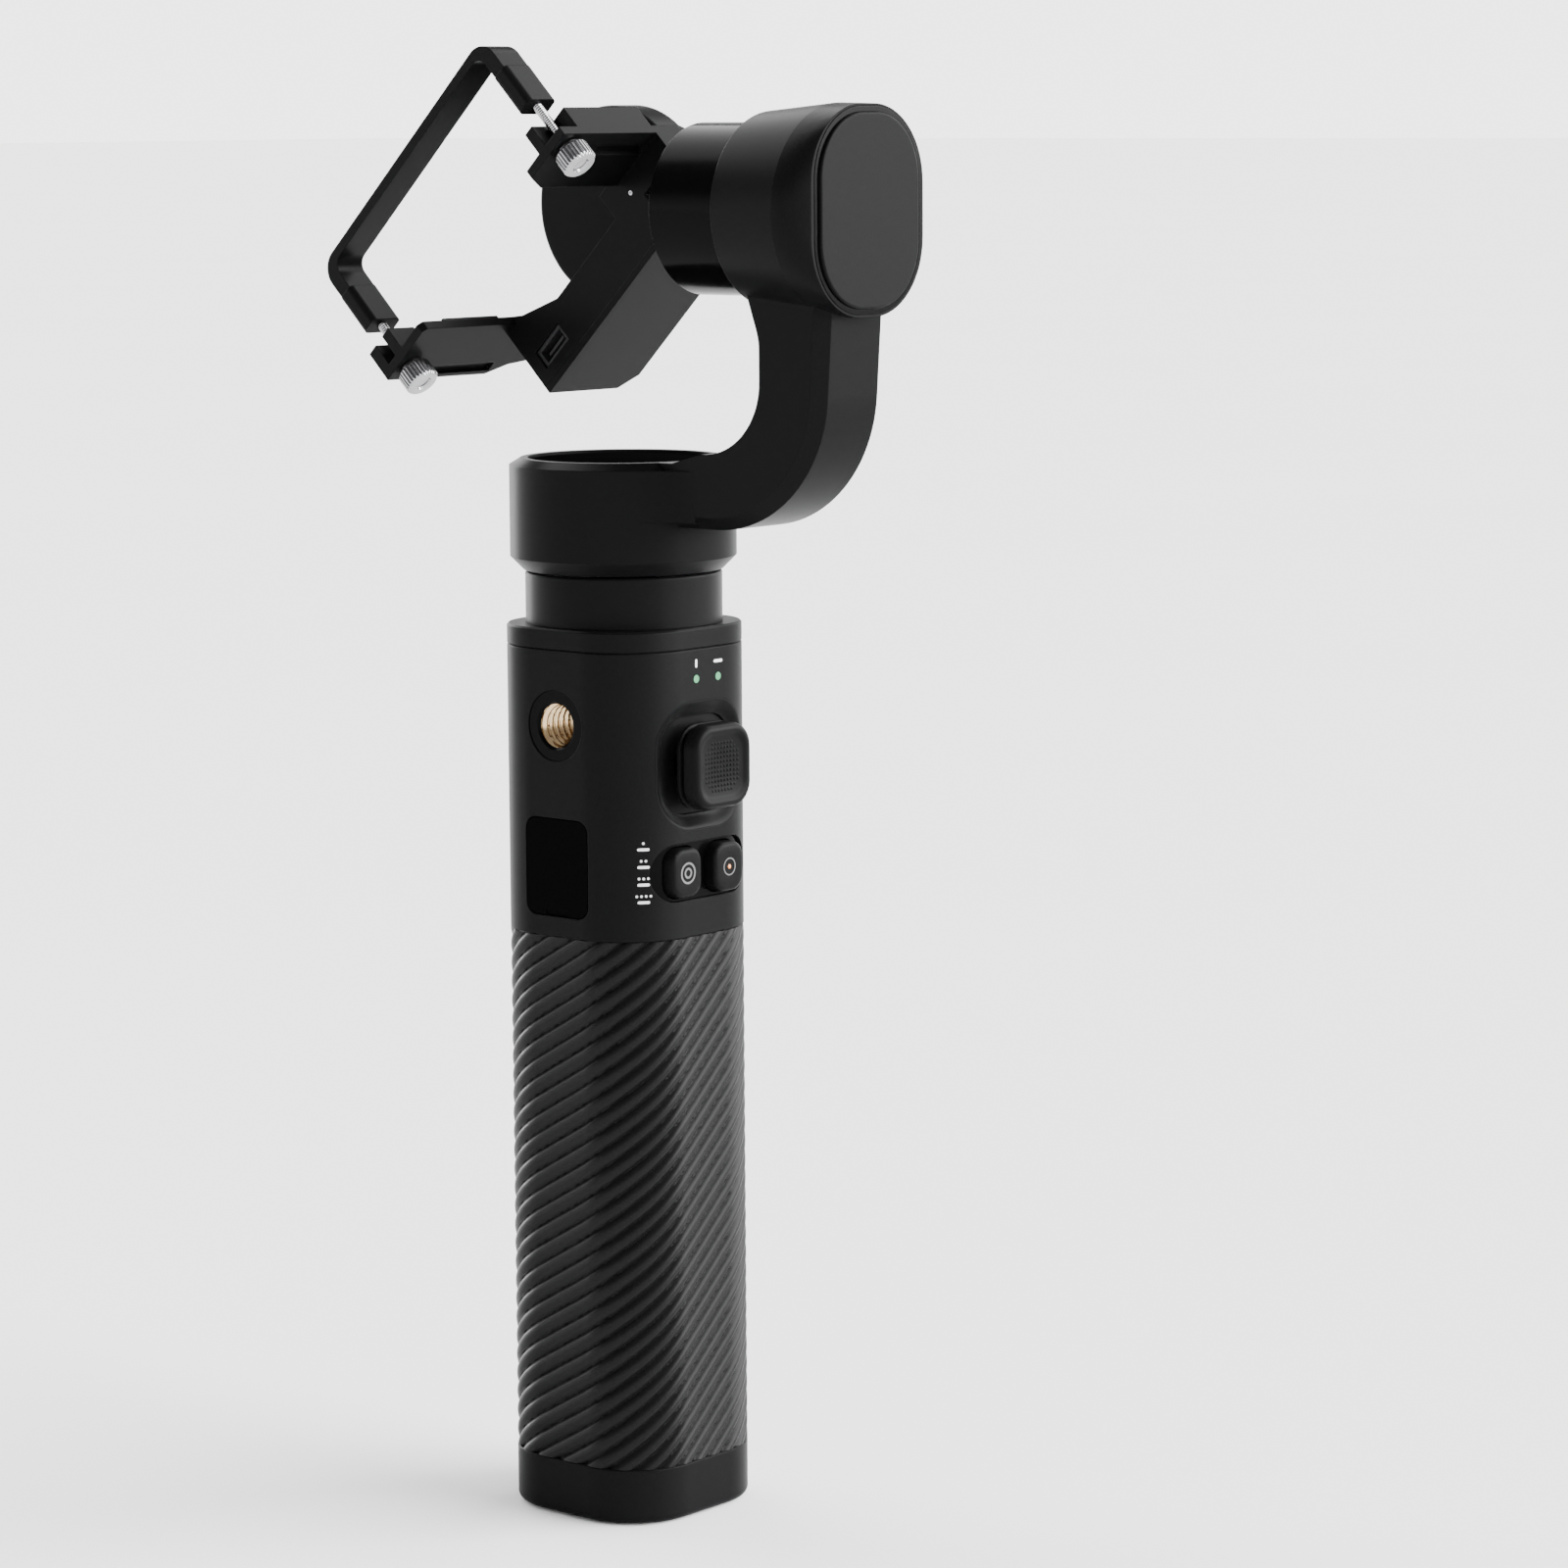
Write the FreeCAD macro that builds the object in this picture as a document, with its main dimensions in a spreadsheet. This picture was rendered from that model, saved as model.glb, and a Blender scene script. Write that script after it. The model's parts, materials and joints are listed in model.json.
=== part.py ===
"""Handheld three-axis gimbal stabilizer for an action camera, in millimetres.

Frame: +Z up the handle, origin at the centre of the handle's base. The joystick faces -Y, the side
thread and the port door face -X, and the camera sits on the +Y side of the roll motor.
"""
import FreeCAD
import Part
import math
import os
import re
import Sketcher

Vector = FreeCAD.Vector
Placement = FreeCAD.Placement
Rotation = FreeCAD.Rotation

SIZES = {
    # handle, a rounded square all the way up
    "handle_width": 42.0,
    "handle_corner": 14.3,
    "base_top": 11.4,
    "base_edge": 1.5,
    "grip_top": 119.6,
    "housing_top": 177.65,
    "ring_top": 181.84,
    "seam_edge": 0.25,
    "cap_wall": 2.4,
    "sleeve_wall": 1.8,
    "core_wall": 2.0,
    "housing_wall": 2.6,
    # battery
    "cell_radius": 10.6,
    "cell_length": 70.0,
    "cell_bottom": 22.0,
    # threads, at their minor radius
    "tripod_thread": 2.55,
    "tripod_insert_radius": 5.0,
    "tripod_insert_length": 9.0,
    "side_thread": 3.97,
    "side_insert_radius": 5.6,
    "side_insert_length": 11.4,
    "side_mouth": -20.2,
    "side_ring_radius": 7.2,
    "side_ring_opening": 4.45,
    "side_thread_height": 162.4,
    "lamp_left": -2.0,
    "lamp_right": 4.6,
    "lamp_height": 171.6,
    # port door and the sockets behind it
    "door_width": 16.3,
    "door_height": 19.5,
    "door_bottom": 124.0,
    "door_corner": 2.5,
    "door_thickness": 1.4,
    "door_barrel": 1.0,
    "door_pin": 0.45,
    "door_gap": 0.25,
    "door_swing_room": 0.3,
    "door_axis_x": -20.0,
    "door_axis_z": 141.0,
    # joystick
    "stick_height": 154.2,
    "dish_width": 25.8,
    "dish_corner": 9.0,
    "dish_rim": 1.5,
    "stick_cap_width": 17.2,
    "stick_cap_corner": 5.0,
    "stick_cap_height": 5.2,
    "stick_face": 26.6,
    "stick_pivot": 14.0,
    # buttons
    "button_height": 133.0,
    "bezel_depth": 0.7,
    "bezel_width": 28.4,
    "bezel_height": 11.7,
    "button_width": 8.7,
    "button_tall": 10.0,
    "button_corner": 3.0,
    "button_gap": 0.3,
    "mode_x": -6.4,
    "power_x": 5.4,
    "button_face": 22.4,
    # neck and yaw drum
    "neck_radius": 19.92,
    "neck_top": 192.2,
    "drum_bottom": 192.6,
    "drum_radius": 22.91,
    "drum_shoulder": 195.3,
    "drum_edge": 213.7,
    "drum_top": 215.1,
    "drum_top_radius": 20.6,
    # yaw arm
    "arm_width": 20.0,
    "arm_under": 202.3,
    "arm_over": 217.2,
    "arm_inner": -44.8,
    "arm_outer_low": -58.3,
    "arm_outer_high": -61.2,
    "arm_chamfer": 2.5,
    "arm_blend": 14.0,
    # roll motor housing and drum
    "roll_height": 264.83,
    "roll_housing_radius": 20.6,
    "roll_collar_radius": 19.1,
    "roll_back": -64.0,
    "roll_front": -40.5,
    "roll_cap_width": 29.6,
    "roll_cap_height": 37.5,
    "roll_cap_corner": 12.8,
    "roll_ring": 1.2,
    "roll_back_width": 33.8,
    "roll_back_height": 40.8,
    "roll_back_corner": 15.0,
    "roll_drum_radius": 16.9,
    "roll_drum_front": -22.35,
    "joint_gap": 0.4,
    # motors
    "yaw_seat": 190.0,
    "roll_seat": -42.5,
    "tilt_seat": 40.5,
    "motor_stack": 7.0,
    "tilt_stack": 5.0,
    "motor_stator": 11.5,
    "motor_magnet": 12.1,
    "motor_rotor": 15.0,
    "motor_tube": 5.9,
    "bearing_outer": 5.0,
    "bearing_inner": 2.5,
    "bearing_height": 3.0,
    "shaft_radius": 2.46,
    # tilt arm and tilt motor
    "tilt_forward": 27.0,
    "tilt_rest": 45.0,
    "tilt_plate_front": -15.5,
    "tilt_housing_radius": 17.0,
    "tilt_housing_near": 35.0,
    "tilt_housing_far": 47.5,
    "tilt_arm_half": 9.0,
    "tilt_arm_thickness": 7.0,
    "tilt_cap_radius": 10.5,
    "arm_screw": 1.1,
    "arm_screw_head": 1.8,
    "arm_screw_length": 8.0,
    "arm_screw_seat": -26.0,
    "arm_screw_circle": 6.0,
    "tilt_disc_radius": 20.3,
    "tilt_disc_near": 27.0,
    "tilt_disc_far": 34.6,
    # camera bracket, measured from the tilt axis with the bracket level
    "box_near": 2.5,
    "box_back": -30.2,
    "box_front": -18.3,
    "box_under": -23.4,
    "box_over": 24.0,
    "box_wall": 2.0,
    "cover_thickness": 1.5,
    "bracket_screw": 0.9,
    "bracket_screw_head": 1.5,
    "bracket_screw_y": -20.2,
    "lip_back": -14.0,
    "lip_thickness": 2.0,
    "lip_inner": 20.0,
    "lip_outer": 35.0,
    "plate_front": -6.8,
    "lug_inner": 27.4,
    "lug_length": 7.4,
    "plate_inner": 30.6,
    "bracket_end": -24.4,
    # clamp bar and thumbscrews
    "screw_x": -20.4,
    "screw_spread": 31.1,
    "screw_radius": 1.0,
    "screw_hole": 1.3,
    "knob_radius": 3.6,
    "knob_length": 4.6,
    "clamp_width": 7.2,
    "clamp_front": 15.2,
    "clamp_thickness": 2.0,
    "clamp_leg": 3.2,
    "clamp_leg_end": -2.7,
    "clamp_corner": 4.5,
}

DOC = FreeCAD.newDocument("GimbalStabilizer")
SHEET = DOC.addObject("Spreadsheet::Sheet", "Sizes")
for row, (alias, number) in enumerate(SIZES.items(), start=1):
    SHEET.set(f"A{row}", alias)
    SHEET.set(f"B{row}", str(number))
    SHEET.setAlias(f"B{row}", alias)
DOC.recompute()

PARTS = []
BRACKET_SCREWS = (-9, 2, 13)
BOARD_SCREWS = [(x, z) for x in (-13, 13) for z in (124, 173)]
UPRIGHT = Rotation()
ALONG_X = Rotation(Vector(0, 1, 0), 90)
ALONG_MINUS_X = Rotation(Vector(0, 1, 0), -90)
ALONG_Y = Rotation(Vector(1, 0, 0), -90)
ALONG_MINUS_Y = Rotation(Vector(1, 0, 0), 90)

# frames: a rotation and an origin
HANDLE = (UPRIGHT, (0, 0, 0))
YAW_MOTOR = (UPRIGHT, (0, 0, "yaw_seat"))
ROLL_MOTOR = (ALONG_Y, (0, "roll_seat", "roll_height"))
TILT_MOTOR = (ALONG_MINUS_X, ("tilt_seat", "tilt_forward", "roll_height"))
BRACKET = (Rotation(Vector(1, 0, 0), SIZES["tilt_rest"]), (0, "tilt_forward", "roll_height"))


def link(formula):
    """A formula in the sheet's aliases, as FreeCAD writes it."""
    def linked(match):
        name = match.group()
        return f"Sizes.{name}" if name in SIZES else name

    return re.sub(r"[a-z][a-z_]*", linked, str(formula))


def value(formula):
    """The number that a formula in the sheet's aliases gives."""
    return float(DOC.Sizes.evalExpression(link(formula)))


def bind(thing, **formulas):
    for name, formula in formulas.items():
        thing.setExpression(name, link(formula))


def bind_place(thing, prop, at):
    for axis, formula in zip("xyz", at):
        thing.setExpression(f"{prop}.Base.{axis}", link(formula))


# ---------------------------------------------------------------- PartDesign helpers


def place_part(thing, frame):
    """Puts a sub-part in its frame, which is a rotation and a point given as three formulas."""
    turn, at = frame
    thing.Placement = Placement(Vector(), turn)
    bind_place(thing, "Placement", at)
    PARTS.append(thing)


def new_body(label, frame=HANDLE):
    """A body whose own coordinates are the given frame's; it becomes one sub-part."""
    body = DOC.addObject("PartDesign::Body", label)
    body.Label = label
    place_part(body, frame)
    return body


def shape(body, kind, at=(0, 0, 0), turn=UPRIGHT, **sizes):
    """A PartDesign primitive such as AdditiveCylinder, at a point that is given as three formulas."""
    feature = body.newObject(f"PartDesign::{kind}", kind)
    feature.Placement = Placement(Vector(), turn)
    bind_place(feature, "Placement", at)
    bind(feature, **sizes)
    return feature


def new_sketch(body, plane, start, centre=(0, 0)):
    """A sketch parallel to one of the body's planes. start is its distance along that plane's normal."""
    sketch = body.newObject("Sketcher::SketchObject", "Outline")
    support = next(o for o in body.Origin.OriginFeatures if o.Role == f"{plane}_Plane")
    sketch.AttachmentSupport = [(support, "")]
    sketch.MapMode = "FlatFace"
    bind_place(sketch, "AttachmentOffset", (centre[0], centre[1], start))
    return sketch


def extrude(body, sketch, length, cut):
    """Pads the sketch, or cuts it out, along its plane's normal."""
    feature = body.newObject("PartDesign::Pocket" if cut else "PartDesign::Pad", "Cut" if cut else "Pad")
    feature.Profile = sketch
    feature.Reversed = cut
    bind(feature, Length=length)
    sketch.Visibility = False
    return feature


def rounded_sketch(body, plane, wide, high, corner, start, centre=(0, 0)):
    """The outline of a rounded rectangle, tied to the sheet."""
    sketch = new_sketch(body, plane, start, centre)
    radius = value(corner)
    across = value(wide) / 2 - radius
    up = value(high) / 2 - radius
    centres = [(across, up), (-across, up), (-across, -up), (across, -up)]
    arcs = []
    for quarter, (x, y) in enumerate(centres):
        circle = Part.Circle(Vector(x, y, 0), Vector(0, 0, 1), radius)
        arc = Part.ArcOfCircle(circle, quarter * math.pi / 2, (quarter + 1) * math.pi / 2)
        arcs.append(sketch.addGeometry(arc, False))
    lines = []
    for quarter in range(4):
        first = sketch.getPoint(arcs[quarter], 2)
        last = sketch.getPoint(arcs[(quarter + 1) % 4], 1)
        lines.append(sketch.addGeometry(Part.LineSegment(first, last), False))
    for quarter in range(4):
        sketch.addConstraint(Sketcher.Constraint("Tangent", arcs[quarter], 2, lines[quarter], 1))
        sketch.addConstraint(Sketcher.Constraint("Tangent", lines[quarter], 2, arcs[(quarter + 1) % 4], 1))
        direction = "Vertical" if quarter % 2 else "Horizontal"
        sketch.addConstraint(Sketcher.Constraint(direction, lines[quarter]))
    for quarter in range(1, 4):
        sketch.addConstraint(Sketcher.Constraint("Equal", arcs[0], arcs[quarter]))
    sketch.addConstraint(Sketcher.Constraint("Symmetric", arcs[0], 3, arcs[2], 3, -1, 1))
    named = {
        "corner": (Sketcher.Constraint("Radius", arcs[0], radius), corner),
        "wide": (Sketcher.Constraint("DistanceX", lines[1], 1, lines[3], 1, value(wide)), wide),
        "high": (Sketcher.Constraint("DistanceY", lines[2], 1, lines[0], 1, value(high)), high),
    }
    for name, (constraint, formula) in named.items():
        index = sketch.addConstraint(constraint)
        sketch.renameConstraint(index, name)
        sketch.setExpression(f"Constraints.{name}", link(formula))
    return sketch


def rounded(body, plane, wide, high, corner, start, length, centre=(0, 0), cut=False, outside=False):
    """A rounded rectangle, extruded from start by length along the plane's normal.

    outside cuts away what lies outside the rectangle instead.
    """
    sketch = rounded_sketch(body, plane, wide, high, corner, start, centre)
    if outside:
        reach = 50
        corners = ((-reach, -reach), (reach, -reach), (reach, reach), (-reach, reach))
        frame = [Vector(x, y, 0) for x, y in corners]
        for first, last in zip(frame, frame[1:] + frame[:1]):
            sketch.addGeometry(Part.LineSegment(first, last), False)
    return extrude(body, sketch, length, cut or outside)


def follow_handle(body, low, tall, depth="0"):
    """Trims a piece to the handle's outside surface, or to a depth under it."""
    wide = f"handle_width - 2 * {depth}"
    rounded(body, "XY", wide, wide, f"handle_corner - {depth}", low, tall, outside=True)


def polygon(body, plane, points, start, length, cut=False):
    """A straight-sided outline, each corner given as two formulas, extruded along the plane's normal."""
    sketch = new_sketch(body, plane, start)
    spots = [Vector(value(x), value(y), 0) for x, y in points]
    sides = []
    for first, last in zip(spots, spots[1:] + spots[:1]):
        sides.append(sketch.addGeometry(Part.LineSegment(first, last), False))
    for index, side in enumerate(sides):
        after = sides[(index + 1) % len(sides)]
        sketch.addConstraint(Sketcher.Constraint("Coincident", side, 2, after, 1))
    for index, (side, point) in enumerate(zip(sides, points)):
        for kind, formula in zip(("DistanceX", "DistanceY"), point):
            name = f"{kind.lower()}_{index}"
            made = sketch.addConstraint(Sketcher.Constraint(kind, -1, 1, side, 1, value(formula)))
            sketch.renameConstraint(made, name)
            sketch.setExpression(f"Constraints.{name}", link(formula))
    return extrude(body, sketch, length, cut)


def dress(body, kind, size, wanted):
    """Rounds ("Fillet") or bevels ("Chamfer") the tip's edges that the test wanted picks."""
    DOC.recompute()
    base = body.Tip
    names = [f"Edge{i}" for i, edge in enumerate(base.Shape.Edges, start=1) if wanted(edge)]
    if not names:
        raise ValueError(f"{body.Label}: no edge to dress")
    feature = body.newObject(f"PartDesign::{kind}", kind)
    feature.Base = (base, names)
    bind(feature, **{"Radius" if kind == "Fillet" else "Size": size})
    return feature


def flat_at(edge, axis, level):
    """Whether the whole edge lies at one level along an axis."""
    low = getattr(edge.BoundBox, f"{axis}Min")
    high = getattr(edge.BoundBox, f"{axis}Max")
    return abs(low - level) < 0.01 and abs(high - level) < 0.01


# ---------------------------------------------------------------- Part helpers


def part_shape(kind, at=(0, 0, 0), turn=UPRIGHT, **sizes):
    """A Part primitive such as Cylinder, at a point that is given as three formulas."""
    thing = DOC.addObject(f"Part::{kind}", kind)
    thing.Placement = Placement(Vector(), turn)
    bind_place(thing, "Placement", at)
    bind(thing, **sizes)
    return thing


def subtract(base, tool):
    cut = DOC.addObject("Part::Cut", "Cut")
    cut.Base = base
    cut.Tool = tool
    return cut


def unite(*pieces):
    fusion = DOC.addObject("Part::MultiFuse", "Fusion")
    fusion.Shapes = list(pieces)
    return fusion


def group(label, pieces, frame=HANDLE):
    """Several separate identical solids, kept as one sub-part."""
    compound = DOC.addObject("Part::Compound", label)
    compound.Label = label
    compound.Links = pieces
    place_part(compound, frame)
    return compound


def screw(at, turn, head, shank, length):
    """A cap screw: its head is behind the point, its shank runs the given length along turn's +Z."""
    knob = part_shape("Cylinder", (0, 0, f"0 - {head}"), Radius=head, Height=head)
    pin = part_shape("Cylinder", (0, 0, 0), Radius=shank, Height=length)
    joined = unite(knob, pin)
    joined.Placement = Placement(Vector(), turn)
    bind_place(joined, "Placement", at)
    return joined


# ---------------------------------------------------------------- handle


def make_base_cap():
    body = new_body("base_cap")
    rounded(body, "XY", "handle_width", "handle_width", "handle_corner", 0, "base_top")
    dress(body, "Fillet", "base_edge", lambda e: flat_at(e, "Z", 0))
    dress(body, "Chamfer", "seam_edge", lambda e: flat_at(e, "Z", value("base_top")))
    inside = "handle_width - 2 * cap_wall"
    rounded(body, "XY", inside, inside, "handle_corner - cap_wall", "3", "base_top - 3", cut=True)
    shape(body, "AdditiveCylinder", (0, 0, 2), Radius="tripod_insert_radius + 2", Height="base_top - 3")
    shape(body, "SubtractiveCylinder", (0, 0, -1), Radius="tripod_insert_radius", Height="base_top + 2")


def make_tripod_insert():
    body = new_body("tripod_insert")
    shape(body, "AdditiveCylinder", (0, 0, 0), Radius="tripod_insert_radius", Height="tripod_insert_length")
    shape(body, "SubtractiveCylinder", (0, 0, -1), Radius="tripod_thread", Height="tripod_insert_length")


def make_grip():
    """The stiff core tube, and the ribbed rubber sleeve over it."""
    outside = "handle_width - 2 * sleeve_wall"
    inside = f"{outside} - 2 * core_wall"
    length = "grip_top - base_top"
    core = new_body("grip_core")
    rounded(core, "XY", outside, outside, "handle_corner - sleeve_wall", "base_top", length)
    rounded(core, "XY", inside, inside, "handle_corner - sleeve_wall - core_wall", "base_top", length,
            cut=True)
    sleeve = new_body("grip_sleeve")
    rounded(sleeve, "XY", "handle_width", "handle_width", "handle_corner", "base_top", length)
    rounded(sleeve, "XY", outside, outside, "handle_corner - sleeve_wall", "base_top", length, cut=True)


def make_battery():
    cell = new_body("battery_cell")
    shape(cell, "AdditiveCylinder", (0, 0, "cell_bottom"), Radius="cell_radius", Height="cell_length")
    shape(cell, "AdditiveCylinder", (0, 0, "cell_bottom + cell_length"), Radius="cell_radius * 0.4",
          Height=1.2)
    holder = new_body("battery_holder")
    wide = "handle_width - 2 * sleeve_wall - 2 * core_wall - 0.2"
    corner = "handle_corner - sleeve_wall - core_wall - 0.1"
    rounded(holder, "XY", wide, wide, corner, "cell_bottom - 4", "cell_length + 4")
    shape(holder, "SubtractiveCylinder", (0, 0, "cell_bottom"), Radius="cell_radius",
          Height="cell_length + 1")
    shape(holder, "SubtractiveBox", ("cell_radius * 0.8", "0 - cell_radius * 0.6", "cell_bottom + 6"),
          Length=12, Width="cell_radius * 1.2", Height="cell_length - 12")


def make_control_housing():
    body = new_body("control_housing")
    inside = "handle_width - 2 * housing_wall"
    tall = "housing_top - grip_top"
    rounded(body, "XY", "handle_width", "handle_width", "handle_corner", "grip_top", tall)
    ends = (value("grip_top"), value("housing_top"))
    dress(body, "Chamfer", "seam_edge", lambda e: any(flat_at(e, "Z", end) for end in ends))
    rounded(body, "XY", inside, inside, "handle_corner - housing_wall", "grip_top", tall, cut=True)
    # bosses for the main board
    for x, z in BOARD_SCREWS:
        shape(body, "AdditiveCylinder", (x, -9.6, z), ALONG_MINUS_Y, Radius=2.2, Height=7.8)
        shape(body, "SubtractiveCylinder", (x, -9, z), ALONG_MINUS_Y, Radius=1, Height=5)
    # front openings: joystick dish, button bezel, two lamps
    rounded(body, "XZ", "dish_width", "dish_width", "dish_corner", 13, 12, (0, "stick_height"), cut=True)
    rounded(body, "XZ", "bezel_width", "bezel_height", "bezel_height / 2 - 0.05", 13, 12,
            (0, "button_height"), cut=True)
    for x in ("lamp_left", "lamp_right"):
        shape(body, "SubtractiveCylinder", (x, -15, "lamp_height"), ALONG_MINUS_Y, Radius=0.8, Height=8)
    # left openings: thread ring, then the port door's recess, its opening and its hinge groove
    shape(body, "SubtractiveCylinder", (-15, 0, "side_thread_height"), ALONG_MINUS_X,
          Radius="side_ring_radius", Height=8)
    recess = "door_width + 2 * door_gap"
    rounded(body, "YZ", recess, "door_height + 2 * door_gap", "door_corner + door_gap",
            "0 - handle_width / 2 - 1",
            "door_thickness + 1.3", (0, "door_bottom + door_height / 2"), cut=True)
    rounded(body, "YZ", "door_width - 5", "door_height - 6.5", 2, "0 - handle_width / 2 - 1", 5,
            (0, "door_bottom + door_height / 2 - 0.8"), cut=True)
    groove = "2 * (door_corner + door_gap) + 0.1"
    rounded(body, "YZ", recess, groove, "door_corner + door_gap", "0 - handle_width / 2 - 1",
            "handle_width / 2 + 1 + door_axis_x + door_corner + door_swing_room",
            (0, f"door_bottom + door_height + door_gap - ({groove}) / 2"), cut=True)
    shape(body, "SubtractiveCylinder", ("door_axis_x", "0 - door_width / 2 - 1.6", "door_axis_z"), ALONG_Y,
          Radius="door_pin", Height="door_width + 3.2")


def make_port_door():
    """The flap over the sockets. It turns on a barrel level with the centres of its upper corners."""
    body = new_body("port_door")
    rounded(body, "YZ", "door_width", "door_height", "door_corner", "door_axis_x - door_barrel",
            "door_thickness", (0, "door_bottom + door_height / 2"))
    shape(body, "AdditiveCylinder", ("door_axis_x", "0 - door_width / 2", "door_axis_z"), ALONG_Y,
          Radius="door_barrel", Height="door_width")
    shape(body, "SubtractiveCylinder", ("door_axis_x", "0 - door_width / 2 - 1", "door_axis_z"), ALONG_Y,
          Radius="door_pin + 0.05", Height="door_width + 2")
    rounded(body, "YZ", "door_width", "door_height", "door_corner", -25, 10,
            (0, "door_bottom + door_height / 2"), outside=True)
    follow_handle(body, "door_bottom - 1", "door_height + 2")
    shape(body, "SubtractiveCylinder", ("door_axis_x - door_barrel - 1.6", -3, "door_bottom"), ALONG_Y,
          Radius=2, Height=6)
    pin = new_body("port_door_pin")
    shape(pin, "AdditiveCylinder", ("door_axis_x", "0 - door_width / 2 - 1.5", "door_axis_z"), ALONG_Y,
          Radius="door_pin", Height="door_width + 3")


def make_side_thread():
    insert = new_body("side_thread_insert")
    shape(insert, "AdditiveCylinder", ("side_mouth", 0, "side_thread_height"), ALONG_X,
          Radius="side_insert_radius", Height="side_insert_length")
    shape(insert, "SubtractiveCylinder", ("side_mouth - 1", 0, "side_thread_height"), ALONG_X,
          Radius="side_thread", Height="side_insert_length - 0.2")
    ring = new_body("side_thread_ring")
    shape(ring, "AdditiveCylinder", ("side_mouth - 0.6", 0, "side_thread_height"), ALONG_X,
          Radius="side_ring_radius", Height=8)
    shape(ring, "SubtractiveCylinder", ("side_mouth - 1", 0, "side_thread_height"), ALONG_X,
          Radius="side_ring_opening", Height=5)
    shape(ring, "SubtractiveCylinder", ("side_mouth", 0, "side_thread_height"), ALONG_X,
          Radius="side_insert_radius", Height=8)
    shape(ring, "SubtractiveCone", ("side_mouth - 0.61", 0, "side_thread_height"), ALONG_X,
          Radius1="side_ring_opening + 0.5", Radius2="side_ring_opening", Height=0.4)


def make_port_sockets():
    board = new_body("port_board")
    rounded(board, "YZ", 14, 18, 1, -10.2, 1.2, (0, 133))
    usb = new_body("usb_port")
    rounded(usb, "YZ", 8.94, 3.26, 1.2, -17.5, 7.3, (0, 133))
    rounded(usb, "YZ", 8.34, 2.66, 1.0, -17.5, 6.7, (0, 133), cut=True)
    shape(usb, "AdditiveBox", (-16.6, -3.3, 132.65), Length=6.1, Width=6.6, Height=0.7)


def make_boards():
    board = new_body("main_board")
    rounded(board, "XZ", 30, 54, 2, 8, 1.6, (0, 148.6))
    for x, z in BOARD_SCREWS:
        shape(board, "SubtractiveCylinder", (x, -11, z), ALONG_Y, Radius=1, Height=5)
    group("board_screws", [screw((x, -8, z), ALONG_MINUS_Y, 1.7, 1, 5) for x, z in BOARD_SCREWS])
    switches = []
    for x in ("mode_x", "power_x"):
        case = part_shape("Box", (f"{x} - 3", -13.1, "button_height - 3"), Length=6, Width=3.5, Height=6)
        plunger = part_shape("Cylinder", (x, -13.1, "button_height"), ALONG_MINUS_Y, Radius=1.6, Height=0.6)
        switches.append(unite(case, plunger))
    group("tact_switches", switches)
    lamps = [part_shape("Cylinder", (x, -17.5, "lamp_height"), ALONG_MINUS_Y, Radius=0.8, Height=3.55)
             for x in ("lamp_left", "lamp_right")]
    group("status_lamps", lamps)


def make_joystick():
    """Dish in the housing, base on the board, ring that rocks about X, cap that rocks about Z in the ring."""
    dish = new_body("joystick_dish")
    rounded(dish, "XZ", "dish_width", "dish_width", "dish_corner", 17.4, 4.1, (0, "stick_height"))
    follow_handle(dish, "stick_height - dish_width", "2 * dish_width")
    inner = "dish_width - 2 * dish_rim"
    rounded(dish, "XZ", inner, inner, "dish_corner - dish_rim", 18.7, 4, (0, "stick_height"), cut=True)
    shape(dish, "SubtractiveCylinder", (0, -16, "stick_height"), ALONG_MINUS_Y, Radius=6.2, Height=5)
    base = new_body("joystick_base")
    rounded(base, "XZ", 17, 17, 1.5, 9.6, 6.9, (0, "stick_height"))
    rounded(base, "XZ", 13.4, 13.4, 1, 10.6, 8, (0, "stick_height"), cut=True)
    shape(base, "SubtractiveCylinder", (-9, "0 - stick_pivot", "stick_height"), ALONG_X, Radius=0.8,
          Height=18)
    ring = new_body("joystick_ring")
    rounded(ring, "XZ", 11, 11, 1, "stick_pivot - 1.4", 2.8, (0, "stick_height"))
    rounded(ring, "XZ", 7.4, 7.4, 1, "stick_pivot - 2", 4, (0, "stick_height"), cut=True)
    for side in (-8.3, 5.2):
        shape(ring, "AdditiveCylinder", (side, "0 - stick_pivot", "stick_height"), ALONG_X, Radius=0.75,
              Height=3.1)
    shape(ring, "SubtractiveCylinder", (0, "0 - stick_pivot", "stick_height - 6"), Radius=0.8, Height=12)
    cap = new_body("joystick_cap")
    rounded(cap, "XZ", "stick_cap_width", "stick_cap_width", "stick_cap_corner",
            "stick_face - stick_cap_height", "stick_cap_height", (0, "stick_height"))
    dress(cap, "Fillet", 0.9, lambda e: flat_at(e, "Y", -value("stick_face")))
    rounded(cap, "XZ", "stick_cap_width - 4", "stick_cap_width - 4", "stick_cap_corner - 2",
            "stick_face - 0.6", 2, (0, "stick_height"), cut=True)
    shape(cap, "AdditiveCylinder", (0, "0 - stick_pivot + 1.2", "stick_height"), ALONG_MINUS_Y, Radius=2.4,
          Height="stick_face - stick_cap_height - stick_pivot + 2.2")
    shape(cap, "AdditiveCylinder", (0, "0 - stick_pivot", "stick_height - 5.2"), Radius=0.75, Height=10.4)


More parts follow.
